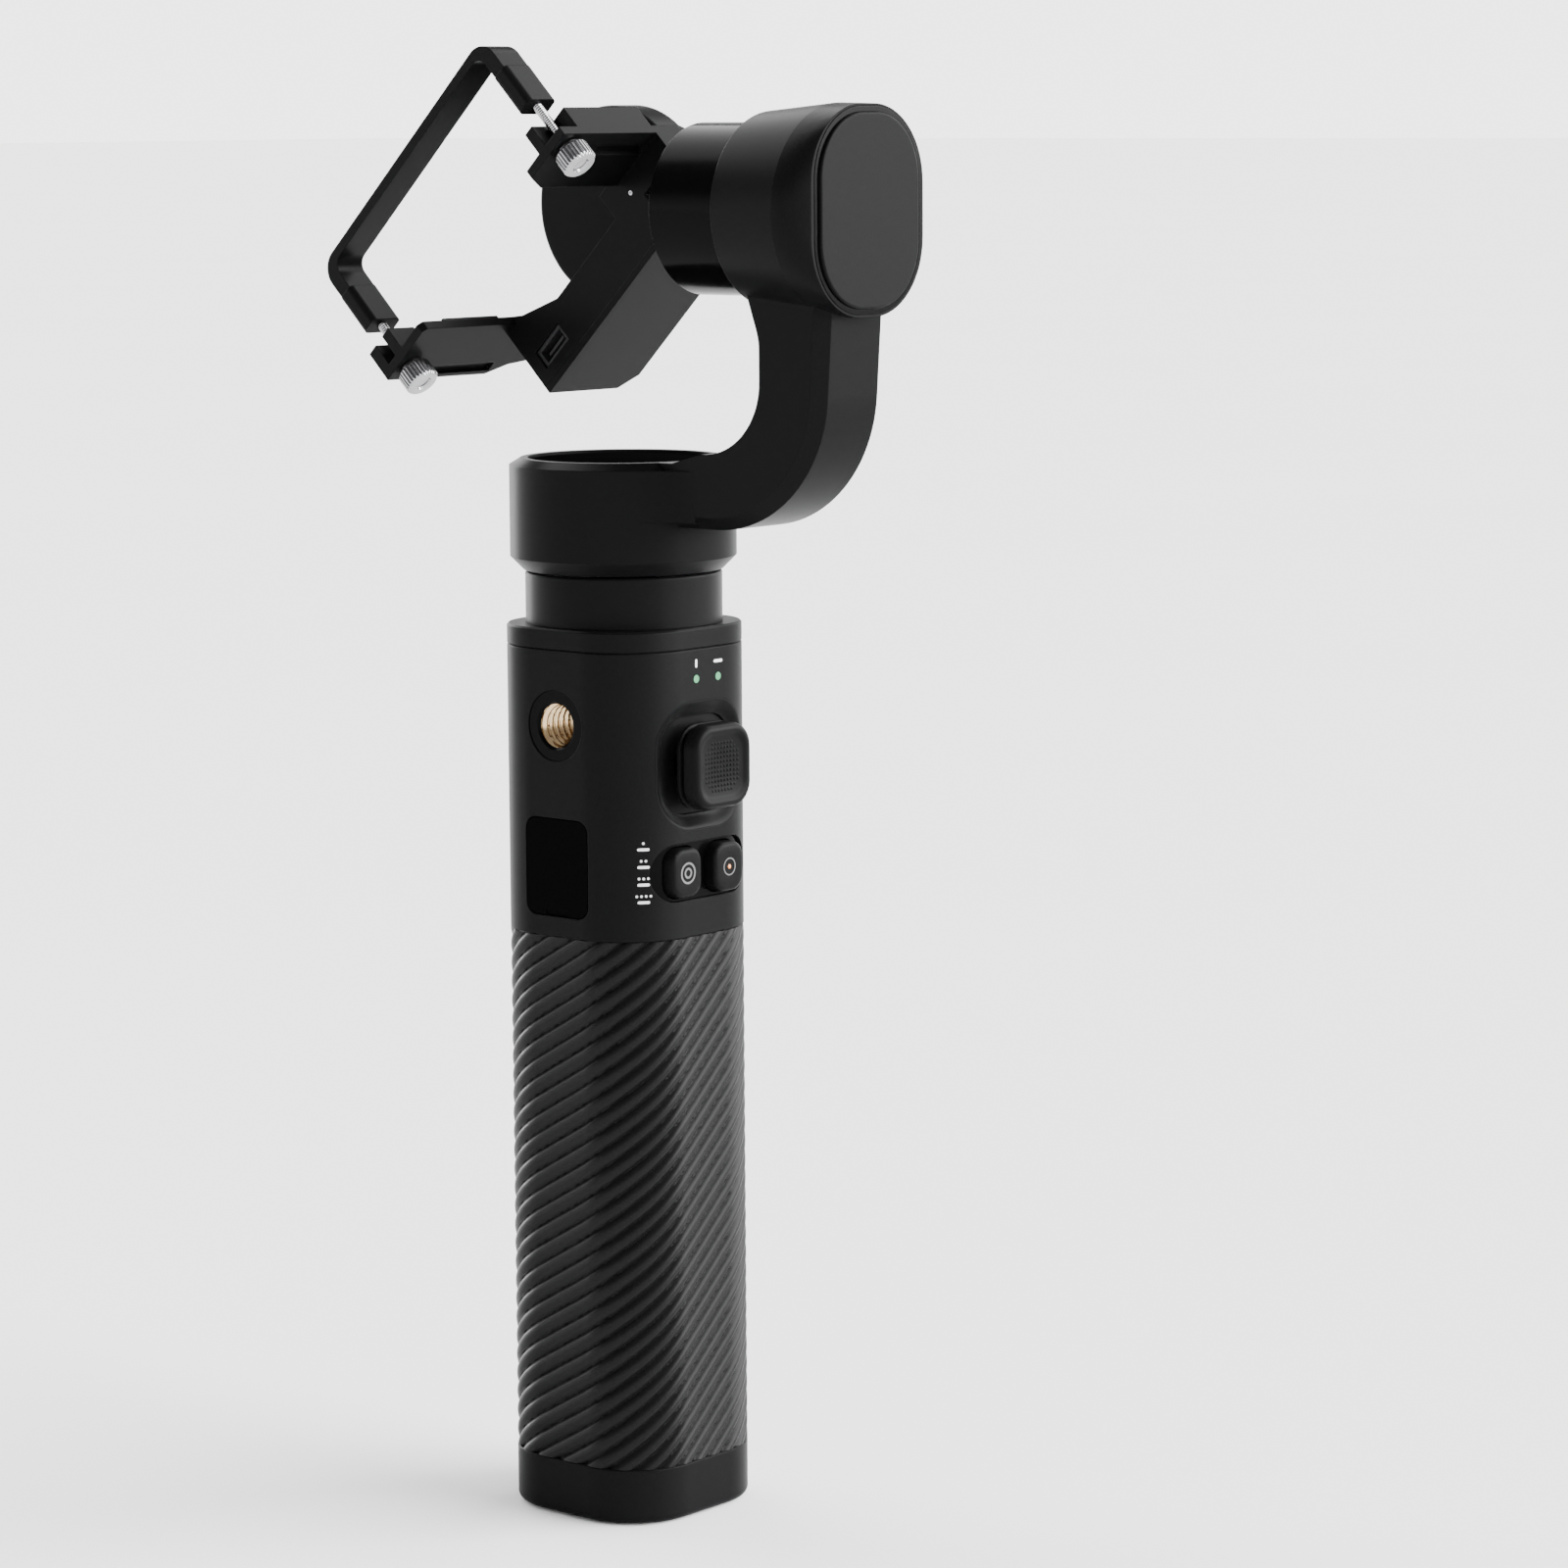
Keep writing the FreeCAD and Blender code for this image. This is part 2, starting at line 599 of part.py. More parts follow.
def make_buttons():
    bezel = new_body("button_bezel")
    rounded(bezel, "XZ", "bezel_width", "bezel_height", "bezel_height / 2 - 0.05", 16.4, 5,
            (0, "button_height"))
    follow_handle(bezel, "button_height - bezel_height", "2 * bezel_height", "bezel_depth")
    for x in ("mode_x", "power_x"):
        rounded(bezel, "XZ", "button_width + 2 * button_gap", "button_tall + 2 * button_gap",
                "button_corner + button_gap", 16, 7, (x, "button_height"), cut=True)
    for label, x, proud in (("mode_button", "mode_x", 0), ("power_button", "power_x", 0.7)):
        button = new_body(label)
        rounded(button, "XZ", "button_width", "button_tall", "button_corner", 18.4,
                f"button_face + {proud} - 18.4", (x, "button_height"))
        face = -value(f"button_face + {proud}")
        dress(button, "Fillet", 0.8, lambda e, face=face: flat_at(e, "Y", face))
        shape(button, "AdditiveCylinder", (x, -18.5, "button_height"), ALONG_Y, Radius=1.6, Height=3.6)


def make_neck():
    ring = new_body("top_ring")
    rounded(ring, "XY", "handle_width", "handle_width", "handle_corner", "housing_top",
            "ring_top - housing_top")
    dress(ring, "Chamfer", 0.4, lambda e: flat_at(e, "Z", value("ring_top")))
    dress(ring, "Chamfer", "seam_edge", lambda e: flat_at(e, "Z", value("housing_top")))
    shape(ring, "SubtractiveCylinder", (0, 0, "housing_top - 1"), Radius=15.4,
          Height="ring_top - housing_top + 2")
    neck = new_body("neck_housing")
    shape(neck, "AdditiveCylinder", (0, 0, "ring_top"), Radius="neck_radius", Height="neck_top - ring_top")
    dress(neck, "Fillet", 0.5, lambda e: flat_at(e, "Z", value("neck_top")))
    shape(neck, "SubtractiveCylinder", (0, 0, "ring_top - 1"), Radius=16,
          Height="yaw_seat - 2.5 - ring_top + 1")
    motor_seat(neck, YAW_MOTOR, 5)


# ---------------------------------------------------------------- motors


def motor_seat(body, frame, depth, stack="motor_stack"):
    """The pocket for a motor's magnets, and the tube that holds its bearings and its stator.

    The seat's plane is at the frame's origin. The tube stands on it along the frame's +Z.
    """
    turn, at = frame
    out = [round(n) for n in turn.multVec(Vector(0, 0, 1))]
    root = [f"{c} - ({n})" for c, n in zip(at, out)]
    behind = [f"{c} - ({4 * n})" for c, n in zip(at, out)]
    shape(body, "SubtractiveCylinder", at, turn, Radius="motor_rotor + joint_gap", Height=depth)
    shape(body, "AdditiveCylinder", root, turn, Radius="motor_tube", Height=f"{stack} + 6")
    shape(body, "SubtractiveCylinder", at, turn, Radius="bearing_outer", Height=f"{stack} + 6")
    shape(body, "SubtractiveCylinder", behind, turn, Radius=3.6, Height=5)


def make_motor(name, frame, stack="motor_stack"):
    """One brushless motor. In the frame, the seat's plane is Z = 0 and the rotor closes it from +Z."""
    stator = new_body(f"{name}_stator", frame)
    shape(stator, "AdditiveCylinder", (0, 0, 4.5), Radius="motor_stator", Height=stack)
    shape(stator, "SubtractiveCylinder", (0, 0, 4), Radius="motor_tube", Height=f"{stack} + 1")
    slot = shape(stator, "SubtractiveBox", ("motor_tube + 1.6", -0.7, 4), Length=6, Width=1.4,
                 Height=f"{stack} + 1")
    pattern = stator.newObject("PartDesign::PolarPattern", "Slots")
    pattern.Originals = [slot]
    axis = next(o for o in stator.Origin.OriginFeatures if o.Role == "Z_Axis")
    pattern.Axis = (axis, [""])
    pattern.Angle = 360
    stator.Tip = pattern
    pattern.Occurrences = 12
    bearings = []
    for bottom in ("0.5", f"{stack} + 1.5"):
        race = part_shape("Cylinder", (0, 0, bottom), Radius="bearing_outer", Height="bearing_height")
        bore = part_shape("Cylinder", (0, 0, f"{bottom} - 1"), Radius="bearing_inner",
                          Height="bearing_height + 2")
        bearings.append(subtract(race, bore))
    group(f"{name}_bearings", bearings, frame)
    rotor = new_body(f"{name}_rotor", frame)
    shape(rotor, "AdditiveCylinder", (0, 0, 4), Radius="motor_rotor", Height=f"{stack} + 3.5")
    shape(rotor, "SubtractiveCylinder", (0, 0, 3), Radius="motor_magnet", Height=f"{stack} + 3")
    shape(rotor, "SubtractiveCylinder", (0, 0, f"{stack} + 3"), Radius="shaft_radius", Height=6)
    shaft = new_body(f"{name}_shaft", frame)
    shape(shaft, "AdditiveCylinder", (0, 0, -1.5), Radius="shaft_radius", Height=f"{stack} + 9")
    board = new_body(f"{name}_encoder", frame)
    shape(board, "AdditiveCylinder", (0, 0, -5.2), Radius=10, Height=1.2)
    shape(board, "AdditiveBox", (-2, -2, -4.2), Length=4, Width=4, Height=1)


# ---------------------------------------------------------------- yaw arm with the roll motor's housing


def make_yaw_arm():
    body = new_body("yaw_arm")
    half = "arm_width / 2"
    polygon(body, "YZ", [
        (-15, "arm_under"),
        ("arm_outer_low", "arm_under"),
        ("arm_outer_high", 246),
        ("arm_outer_high", 256),
        ("roll_front - 1", 256),
        ("roll_front - 0.8", 250),
        ("arm_inner", 240),
        ("arm_inner", "arm_over"),
        (-29.7, "arm_over"),
        (-22, "drum_top"),
        (-15, "drum_top"),
    ], f"0 - {half}", "arm_width")

    def bend(y, z):
        return lambda e: (flat_at(e, "Y", value(y)) and flat_at(e, "Z", value(z)))

    dress(body, "Fillet", 28.5, bend("arm_outer_low", "arm_under"))
    dress(body, "Fillet", 14.6, bend("arm_inner", "arm_over"))
    dress(body, "Fillet", 12, bend("arm_inner", 240))

    def outer_rim(edge):
        on_side = flat_at(edge, "X", -value(half)) or flat_at(edge, "X", value(half))
        middle = edge.valueAt((edge.FirstParameter + edge.LastParameter) / 2)
        low = middle.z < value("arm_under") + 0.1
        outside = middle.y < value("arm_inner") - 4 and middle.z < 245
        return on_side and (low or outside)

    dress(body, "Chamfer", "arm_chamfer", outer_rim)
    # web that spreads the arm into the drum
    reach = math.sqrt(value("(drum_radius + arm_blend)^2 - (arm_width / 2 + arm_blend)^2"))
    make_web(body, reach)
    # drum
    shape(body, "AdditiveCone", (0, 0, "drum_bottom"), Radius1="neck_radius + 0.3", Radius2="drum_radius",
          Height="drum_shoulder - drum_bottom")
    shape(body, "AdditiveCylinder", (0, 0, "drum_shoulder"), Radius="drum_radius",
          Height="drum_edge - drum_shoulder")
    shape(body, "AdditiveCone", (0, 0, "drum_edge"), Radius1="drum_radius", Radius2="drum_top_radius",
          Height="drum_top - drum_edge")
    shape(body, "SubtractiveCylinder", (0, 0, "drum_top - 2.4"), Radius="drum_top_radius - 1.4", Height=5)
    shape(body, "SubtractiveCylinder", (0, 0, "drum_top - 8"), Radius=17, Height=6)
    shape(body, "SubtractiveCylinder", (0, 0, "drum_bottom - 1"), Radius="motor_rotor",
          Height="yaw_seat + 14.5 - drum_bottom + 1")
    # roll motor's housing
    roll_length = "roll_front - roll_back"
    shape(body, "AdditiveCone", (0, "roll_back + 7", "roll_height"), ALONG_Y, Radius1="roll_housing_radius",
          Radius2="roll_collar_radius", Height=f"{roll_length} - 7")
    soften_housing_back(body)
    grow = "2 * roll_ring"
    rounded(body, "XZ", f"roll_cap_width + {grow}", f"roll_cap_height + {grow}",
            "roll_cap_corner + roll_ring", "0 - roll_back - 1.2", 3, (0, "roll_height"), cut=True)
    shape(body, "SubtractiveCylinder", (0, "roll_back + 0.5", "roll_height"), ALONG_Y, Radius=15.5,
          Height="roll_seat - 2.5 - roll_back - 0.5")
    motor_seat(body, ROLL_MOTOR, 12)


def make_web(body, reach):
    """Plan of the web: two arcs, each tangent to the arm's side and to the drum."""
    sketch = new_sketch(body, "XY", "arm_under + 1.2")
    side = value("arm_width / 2")
    blend = value("arm_blend")
    scale = value("drum_radius") / (value("drum_radius") + blend)
    touch = Vector((side + blend) * scale, -reach * scale, 0)
    middle_angle = (math.pi + math.atan2(reach, -(side + blend))) / 2
    middle = Vector(side + blend + blend * math.cos(middle_angle), -reach + blend * math.sin(middle_angle), 0)
    start = Vector(side, -reach, 0)
    sketch.addGeometry(Part.Arc(start, middle, touch), False)
    flipped = [Vector(-p.x, p.y, 0) for p in (touch, middle, start)]
    sketch.addGeometry(Part.LineSegment(touch, flipped[0]), False)
    sketch.addGeometry(Part.Arc(*flipped), False)
    sketch.addGeometry(Part.LineSegment(flipped[2], start), False)
    extrude(body, sketch, "drum_edge - arm_under - 1.2", False)


def soften_housing_back(body):
    """The back of the roll housing: a loft from the round motor to the flatter outline around the end cap."""
    round_width = "2 * roll_housing_radius"
    outlines = (
        ("roll_back_width", "roll_back_height", "roll_back_corner", "0 - roll_back"),
        (f"(roll_back_width + {round_width}) / 2 + 1.1", f"(roll_back_height + {round_width}) / 2",
         "roll_back_corner + 3.6", "0 - roll_back - 2.4"),
        (round_width, round_width, "roll_housing_radius - 0.02", "0 - roll_back - 7"),
    )
    sketches = [rounded_sketch(body, "XZ", wide, high, corner, start, (0, "roll_height"))
                for wide, high, corner, start in outlines]
    loft = body.newObject("PartDesign::AdditiveLoft", "Loft")
    loft.Profile = sketches[0]
    loft.Sections = sketches[1:]
    for sketch in sketches:
        sketch.Visibility = False


def make_yaw_covers():
    cover = new_body("yaw_top_cover")
    shape(cover, "AdditiveCylinder", (0, 0, "drum_top - 2.4"), Radius="drum_top_radius - 1.4", Height=1.8)
    centre = (0, "roll_height")
    grow = "2 * roll_ring"
    ring = new_body("roll_trim_ring")
    rounded(ring, "XZ", f"roll_cap_width + {grow}", f"roll_cap_height + {grow}",
            "roll_cap_corner + roll_ring", "0 - roll_back - 1.2", 1.3, centre)
    rounded(ring, "XZ", "roll_cap_width", "roll_cap_height", "roll_cap_corner", "0 - roll_back - 2", 4,
            centre, cut=True)
    cap = new_body("roll_end_cap")
    rounded(cap, "XZ", "roll_cap_width", "roll_cap_height", "roll_cap_corner", "0 - roll_back - 1.2", 1.98,
            centre)
    dress(cap, "Fillet", 0.4, lambda e: flat_at(e, "Y", value("roll_back - 0.78")))


# ---------------------------------------------------------------- roll drum and tilt arm


def make_roll_drum():
    body = new_body("roll_drum")
    start = "roll_front + joint_gap"
    shape(body, "AdditiveCylinder", (0, start, "roll_height"), ALONG_Y, Radius="roll_drum_radius",
          Height=f"roll_drum_front - ({start})")
    dress(body, "Chamfer", 0.5, lambda e: flat_at(e, "Y", value("roll_drum_front")))
    shape(body, "SubtractiveCylinder", (0, "roll_front - 1", "roll_height"), ALONG_Y, Radius="motor_rotor",
          Height="roll_seat + 14.5 - roll_front + 1")
    for x, z in arm_screw_places():
        shape(body, "SubtractiveCylinder", (x, "arm_screw_seat - 3", z), ALONG_Y, Radius="arm_screw_head",
              Height=3)
        shape(body, "SubtractiveCylinder", (x, "arm_screw_seat - 1", z), ALONG_Y, Radius="arm_screw",
              Height=8)


def arm_screw_places():
    """Where the four screws between the roll drum and the tilt arm stand, as X and Z."""
    angles = [math.radians(45 + 90 * i) for i in range(4)]
    return [(f"arm_screw_circle * {math.cos(a):.4f}", f"roll_height + arm_screw_circle * ({math.sin(a):.4f})")
            for a in angles]


def make_tilt_arm():
    """Plate on the roll drum that runs out to +X, turns forward and carries the tilt motor's housing."""
    body = new_body("tilt_arm")
    shape(body, "AdditiveCylinder", ("tilt_housing_near", "tilt_forward", "roll_height"), ALONG_X,
          Radius="tilt_housing_radius", Height="tilt_housing_far - tilt_housing_near")
    dress(body, "Fillet", 6, lambda e: flat_at(e, "X", value("tilt_housing_far")))
    polygon(body, "XY", [
        (0, "roll_drum_front"),
        ("tilt_housing_far", "roll_drum_front"),
        ("tilt_housing_far", "tilt_forward"),
        ("tilt_housing_far - tilt_arm_thickness", "tilt_forward"),
        ("tilt_housing_far - tilt_arm_thickness", "tilt_plate_front"),
        (0, "tilt_plate_front"),
    ], "roll_height - tilt_arm_half", "2 * tilt_arm_half")
    corners = (("tilt_housing_far", "roll_drum_front", 13),
               ("tilt_housing_far - tilt_arm_thickness", "tilt_plate_front", 7))
    for x, y, radius in corners:
        dress(body, "Fillet", radius,
              lambda e, x=value(x), y=value(y): flat_at(e, "X", x) and flat_at(e, "Y", y))
    shape(body, "AdditiveCylinder", (0, "roll_drum_front", "roll_height"), ALONG_Y, Radius="tilt_arm_half",
          Height="tilt_plate_front - roll_drum_front")
    for x, z in arm_screw_places():
        shape(body, "SubtractiveCylinder", (x, "roll_drum_front - 1", z), ALONG_Y, Radius="arm_screw",
              Height="arm_screw_seat + arm_screw_length - roll_drum_front + 1")
    shape(body, "SubtractiveCylinder", ("tilt_seat + 2.1", "tilt_forward", "roll_height"), ALONG_X,
          Radius="tilt_cap_radius", Height=10)
    motor_seat(body, TILT_MOTOR, 10, "tilt_stack")
    cap = new_body("tilt_end_cap")
    shape(cap, "AdditiveCylinder", ("tilt_housing_far - 0.8", "tilt_forward", "roll_height"), ALONG_X,
          Radius="tilt_cap_radius", Height=0.8)
    group("tilt_arm_screws", [screw((x, "arm_screw_seat", z), ALONG_Y, "arm_screw_head", "arm_screw",
                                    "arm_screw_length") for x, z in arm_screw_places()])


# ---------------------------------------------------------------- camera bracket


def make_tilt_disc():
    """The tilt motor's bell, with the ear that the camera bracket is screwed to."""
    body = new_body("tilt_disc", BRACKET)
    thick = "tilt_disc_far - tilt_disc_near"
    shape(body, "AdditiveCylinder", ("tilt_disc_near", 0, 0), ALONG_X, Radius="tilt_disc_radius",
          Height=thick)
    dress(body, "Fillet", 1, lambda e: flat_at(e, "X", value("tilt_disc_near")))
    shape(body, "AdditiveBox", ("tilt_disc_near", "bracket_screw_y - 2.5", -12), Length=thick, Width=10,
          Height=30)
    shape(body, "SubtractiveCylinder", ("tilt_seat - tilt_stack - 7.5", 0, 0), ALONG_X,
          Radius="motor_rotor", Height=12)
    for z in BRACKET_SCREWS:
        shape(body, "SubtractiveCylinder", ("tilt_disc_near - 1", "bracket_screw_y", z), ALONG_X,
              Radius="bracket_screw", Height=12)
        shape(body, "SubtractiveCylinder", ("tilt_disc_far - 1.6", "bracket_screw_y", z), ALONG_X,
              Radius="bracket_screw_head", Height=3)


def make_camera_bracket():
    body = new_body("camera_bracket", BRACKET)
    box_x = "box_near"
    box_wide = "tilt_disc_near - box_near"
    back = "box_back + cover_thickness"
    shape(body, "AdditiveBox", (box_x, back, "box_under"), Length=box_wide,
          Width=f"box_front - ({back})", Height="box_over - box_under")
    # lower arm: flare, lip and plate
    polygon(body, "YZ", [
        ("box_front - 1", -8),
        ("box_front", -8),
        ("lip_back", -17.5),
        ("lip_back + lip_thickness", "0 - lip_inner"),
        ("lip_back + lip_thickness", "box_under"),
        ("box_front - 1", "box_under"),
    ], "box_near", 12)
    polygon(body, "XZ", [
        ("bracket_end", "0 - lip_outer"),
        (4, "0 - lip_outer"),
        (9, "0 - lip_outer + 2.5"),
        (14.5, "0 - lip_outer + 3.5"),
        (14.5, "0 - lip_inner"),
        ("bracket_end + 1", "0 - lip_inner"),
        ("bracket_end", "0 - lip_inner - 1"),
    ], "0 - lip_back - lip_thickness", "lip_thickness")
    shape(body, "AdditiveBox", ("bracket_end", "lip_back", "0 - lip_outer"), Length="box_near - bracket_end",
          Width="plate_front - lip_back", Height="lip_outer - plate_inner")
    # upper arm: web to the box, lip and plate
    shape(body, "AdditiveBox", ("box_near", "box_front - 2", "lip_inner - 5"), Length=8,
          Width="lip_back + lip_thickness - box_front + 2", Height="lip_outer - lip_inner + 5")
    polygon(body, "XZ", [
        ("bracket_end", "lip_outer"),
        ("box_near", "lip_outer"),
        ("box_near", "lip_inner"),
        ("bracket_end + 4.4", "lip_inner"),
        ("bracket_end", "lip_inner + 2.6"),
    ], "0 - lip_back - lip_thickness", "lip_thickness")
    shape(body, "AdditiveBox", ("bracket_end", "lip_back", "plate_inner"), Length="box_near - bracket_end",
          Width="plate_front - lip_back", Height="lip_outer - plate_inner")
    # end lugs with a slot that the thumbscrew drops into, and a hole in each lip
    for side in (1, -1):
        middle = f"{side} * (lip_outer + lug_inner) / 2"
        shape(body, "AdditiveBox", ("bracket_end", "lip_back", f"{middle} - (lip_outer - lug_inner) / 2"),
              Length="lug_length", Width="plate_front - lip_back", Height="lip_outer - lug_inner")
        shape(body, "SubtractiveBox", ("bracket_end - 1", "lip_back + lip_thickness",
                                       f"{side} * screw_spread - screw_hole"),
              Length="screw_x + screw_hole - bracket_end + 1", Width="plate_front - lip_back",
              Height="2 * screw_hole")
        shape(body, "SubtractiveCylinder", ("screw_x", "lip_back - 1", f"{side} * screw_spread"), ALONG_Y,
              Radius="screw_hole", Height="lip_thickness + 2")
    shape(body, "SubtractiveBox", ("bracket_end - 1", "lip_back + lip_thickness", "screw_spread"),
          Length="screw_x + screw_hole - bracket_end + 1", Width="plate_front - lip_back", Height=6)
    shape(body, "SubtractiveBox", (-12, "lip_back - 1", 29), Length=14, Width=1.9, Height=2.4)
    shape(body, "SubtractiveBox", (-13.6, "lip_back - 1", -34), Length=18, Width=1.9, Height=2.4)
    # the box's inside, open at the back, its socket and its lower corner
    shape(body, "SubtractiveBox", ("box_near + box_wall", f"{back} - 1", "box_under + box_wall"),
          Length=f"{box_wide} - 2 * box_wall", Width=f"box_front - box_wall - ({back}) + 1",
          Height="box_over - box_under - 2 * box_wall")
    shape(body, "SubtractiveBox", ("box_near - 1", -26.2, -20.4), Length=5, Width=4.4, Height=8.8)
    dress(body, "Chamfer", 3.8, lambda e: flat_at(e, "X", value("tilt_disc_near"))
          and flat_at(e, "Z", value("box_under")))
    for z in BRACKET_SCREWS:
        shape(body, "SubtractiveCylinder", ("tilt_disc_near + 1", "bracket_screw_y", z), ALONG_MINUS_X,
              Radius="bracket_screw", Height=4)


def make_bracket_fittings():
    cover = new_body("bracket_cover", BRACKET)
    wide = "tilt_disc_near - box_near"
    shape(cover, "AdditiveBox", ("box_near", "box_back", "box_under"), Length=wide, Width="cover_thickness",
          Height="box_over - box_under")
    dress(cover, "Chamfer", 3.8, lambda e: flat_at(e, "X", value("tilt_disc_near"))
          and flat_at(e, "Z", value("box_under")))
    board = new_body("motion_sensor_board", BRACKET)
    shape(board, "AdditiveBox", (6, -22, -9), Length=18, Width=1.2, Height=28)
    shape(board, "AdditiveBox", (12, -23, 2), Length=5, Width=1, Height=5)
    port = new_body("camera_port", BRACKET)
    shape(port, "AdditiveBox", ("box_near + 0.6", -26.2, -20.4), Length=6, Width=4.4, Height=8.8)
    shape(port, "SubtractiveBox", ("box_near", -25.4, -19.6), Length=5, Width=2.8, Height=7.2)
    shape(port, "AdditiveBox", ("box_near + 1.4", -24.3, -18.8), Length=4.4, Width=0.6, Height=5.6)
    pads = []
    for low in ("lip_inner + 0.5", "0 - lip_inner - 10"):
        pads.append(part_shape("Box", ("screw_x + 3.8", "lip_back + lip_thickness", low), Length=16, Width=1,
                               Height=9.5))
    group("grip_pads", pads, BRACKET)
    places = [("tilt_disc_far - 1.6", "bracket_screw_y", z) for z in BRACKET_SCREWS]
    group("bracket_screws", [screw(place, ALONG_MINUS_X, "bracket_screw_head", "bracket_screw", 8.5)
                             for place in places], BRACKET)


def make_clamp():
    bar = new_body("clamp_bar", BRACKET)
    half = "(screw_spread + clamp_leg / 2)"
    start = "screw_x - clamp_width / 2"
    deep = "clamp_front - clamp_leg_end"
    sketch_high = f"2 * {half}"
    rounded(bar, "YZ", f"{deep} + 20", sketch_high, "clamp_corner", start, "clamp_width",
            (f"clamp_front - ({deep} + 20) / 2", 0))
    rounded(bar, "YZ", f"{deep} + 20", f"{sketch_high} - 2 * clamp_leg", "clamp_corner - clamp_thickness",
            start, "clamp_width", (f"clamp_front - clamp_thickness - ({deep} + 20) / 2", 0), cut=True)
    shape(bar, "SubtractiveBox", (-30, -40, -50), Length=20, Width="clamp_leg_end + 40", Height=100)
    for side in (1, -1):
        rounded(bar, "XZ", "clamp_width + 0.8", "clamp_leg + 0.9", 1.2, "0 - clamp_leg_end - 9.5", 9.5,
                ("screw_x", f"{side} * screw_spread"))
    for side in ("", "0 - "):
        shape(bar, "SubtractiveCylinder", ("screw_x", "clamp_leg_end - 1", f"{side}screw_spread"), ALONG_Y,
              Radius="screw_radius + 0.05", Height="clamp_front - 2 - clamp_leg_end")
    for label, side in (("thumbscrew_upper", ""), ("thumbscrew_lower", "0 - ")):
        knob = new_body(label, BRACKET)
        shape(knob, "AdditiveCylinder", ("screw_x", "lip_back - 0.3 - knob_length", f"{side}screw_spread"),
              ALONG_Y, Radius="knob_radius", Height="knob_length")
        dress(knob, "Chamfer", 0.5, lambda e: flat_at(e, "Y", value("lip_back - 0.3 - knob_length")))
        shape(knob, "AdditiveCylinder", ("screw_x", "lip_back - 1", f"{side}screw_spread"), ALONG_Y,
              Radius="screw_radius", Height=20)


# ---------------------------------------------------------------- assembly


def check(parts):
    """Stops before anything is written if an object failed, a cut took nothing or a shape is bad."""
    for thing in DOC.Objects:
        if {"Invalid", "Error"} & set(thing.State):
            raise RuntimeError(f"{thing.Label} failed: {thing.State}")
    for part in parts:
        if part.Shape.isNull() or not part.Shape.isValid():
            raise RuntimeError(f"{part.Label} has a bad shape")
        if part.TypeId != "PartDesign::Body":
            continue
        volume = 0
        for feature in part.Group:
            if feature.TypeId.startswith("Sketcher") or not hasattr(feature, "Shape"):
                continue
            cuts = any(word in feature.TypeId for word in ("Pocket", "Subtractive", "Polar"))
            if cuts and feature.Shape.Volume > volume - 0.01:
                raise RuntimeError(f"{part.Label}: {feature.Label} cuts nothing")
            volume = feature.Shape.Volume


def write(parts):
    os.makedirs("parts", exist_ok=True)
    for part in parts:
        part.Shape.exportStep(f"parts/{part.Label}.step")
        box = part.Shape.BoundBox
        print(f"{part.Label:22s} {part.Shape.Volume:9.0f} mm3  X {box.XMin:.1f} {box.XMax:.1f}"
              f"  Y {box.YMin:.1f} {box.YMax:.1f}  Z {box.ZMin:.1f} {box.ZMax:.1f}")




make_base_cap()
make_tripod_insert()
make_grip()
make_battery()
make_control_housing()
make_port_door()
make_side_thread()
make_port_sockets()
make_boards()
make_joystick()
make_buttons()
make_neck()
make_motor("yaw", YAW_MOTOR)
make_yaw_arm()
make_yaw_covers()
make_motor("roll", ROLL_MOTOR)
make_roll_drum()
make_tilt_arm()
make_motor("tilt", TILT_MOTOR, "tilt_stack")
make_tilt_disc()
make_camera_bracket()
make_bracket_fittings()
make_clamp()
DOC.recompute()
check(PARTS)
write(PARTS)
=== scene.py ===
"""Handheld three-axis gimbal stabilizer: materials, fine detail, studio floor, lights and camera.

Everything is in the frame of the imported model. Lengths in this file are in millimetres until mesh_piece
turns them into metres.
"""
import json
import math
import random

import bmesh
import bpy
from mathutils import Matrix, Vector


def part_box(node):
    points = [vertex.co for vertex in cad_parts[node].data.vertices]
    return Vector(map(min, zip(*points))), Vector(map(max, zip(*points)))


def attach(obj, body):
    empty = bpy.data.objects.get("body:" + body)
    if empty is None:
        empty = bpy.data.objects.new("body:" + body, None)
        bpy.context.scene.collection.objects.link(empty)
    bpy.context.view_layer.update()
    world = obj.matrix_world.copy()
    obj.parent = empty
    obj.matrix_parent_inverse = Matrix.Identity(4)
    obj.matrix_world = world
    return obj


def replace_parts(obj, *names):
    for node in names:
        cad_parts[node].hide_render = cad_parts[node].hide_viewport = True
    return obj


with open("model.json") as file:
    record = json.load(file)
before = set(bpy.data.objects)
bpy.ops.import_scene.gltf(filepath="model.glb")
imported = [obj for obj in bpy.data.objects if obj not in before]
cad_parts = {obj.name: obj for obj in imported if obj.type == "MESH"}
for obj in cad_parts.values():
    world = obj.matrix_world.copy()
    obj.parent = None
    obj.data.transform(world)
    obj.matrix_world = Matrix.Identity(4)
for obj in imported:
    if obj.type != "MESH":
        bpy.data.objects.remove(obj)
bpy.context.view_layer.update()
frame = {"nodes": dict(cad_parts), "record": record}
MM = 0.001
random.seed(7)


def box_mm(node):
    """Lowest and highest corner of a CAD node, in millimetres."""
    low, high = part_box(node)
    return Vector(low) / MM, Vector(high) / MM


# ---------------------------------------------------------------- sizes taken from the frame

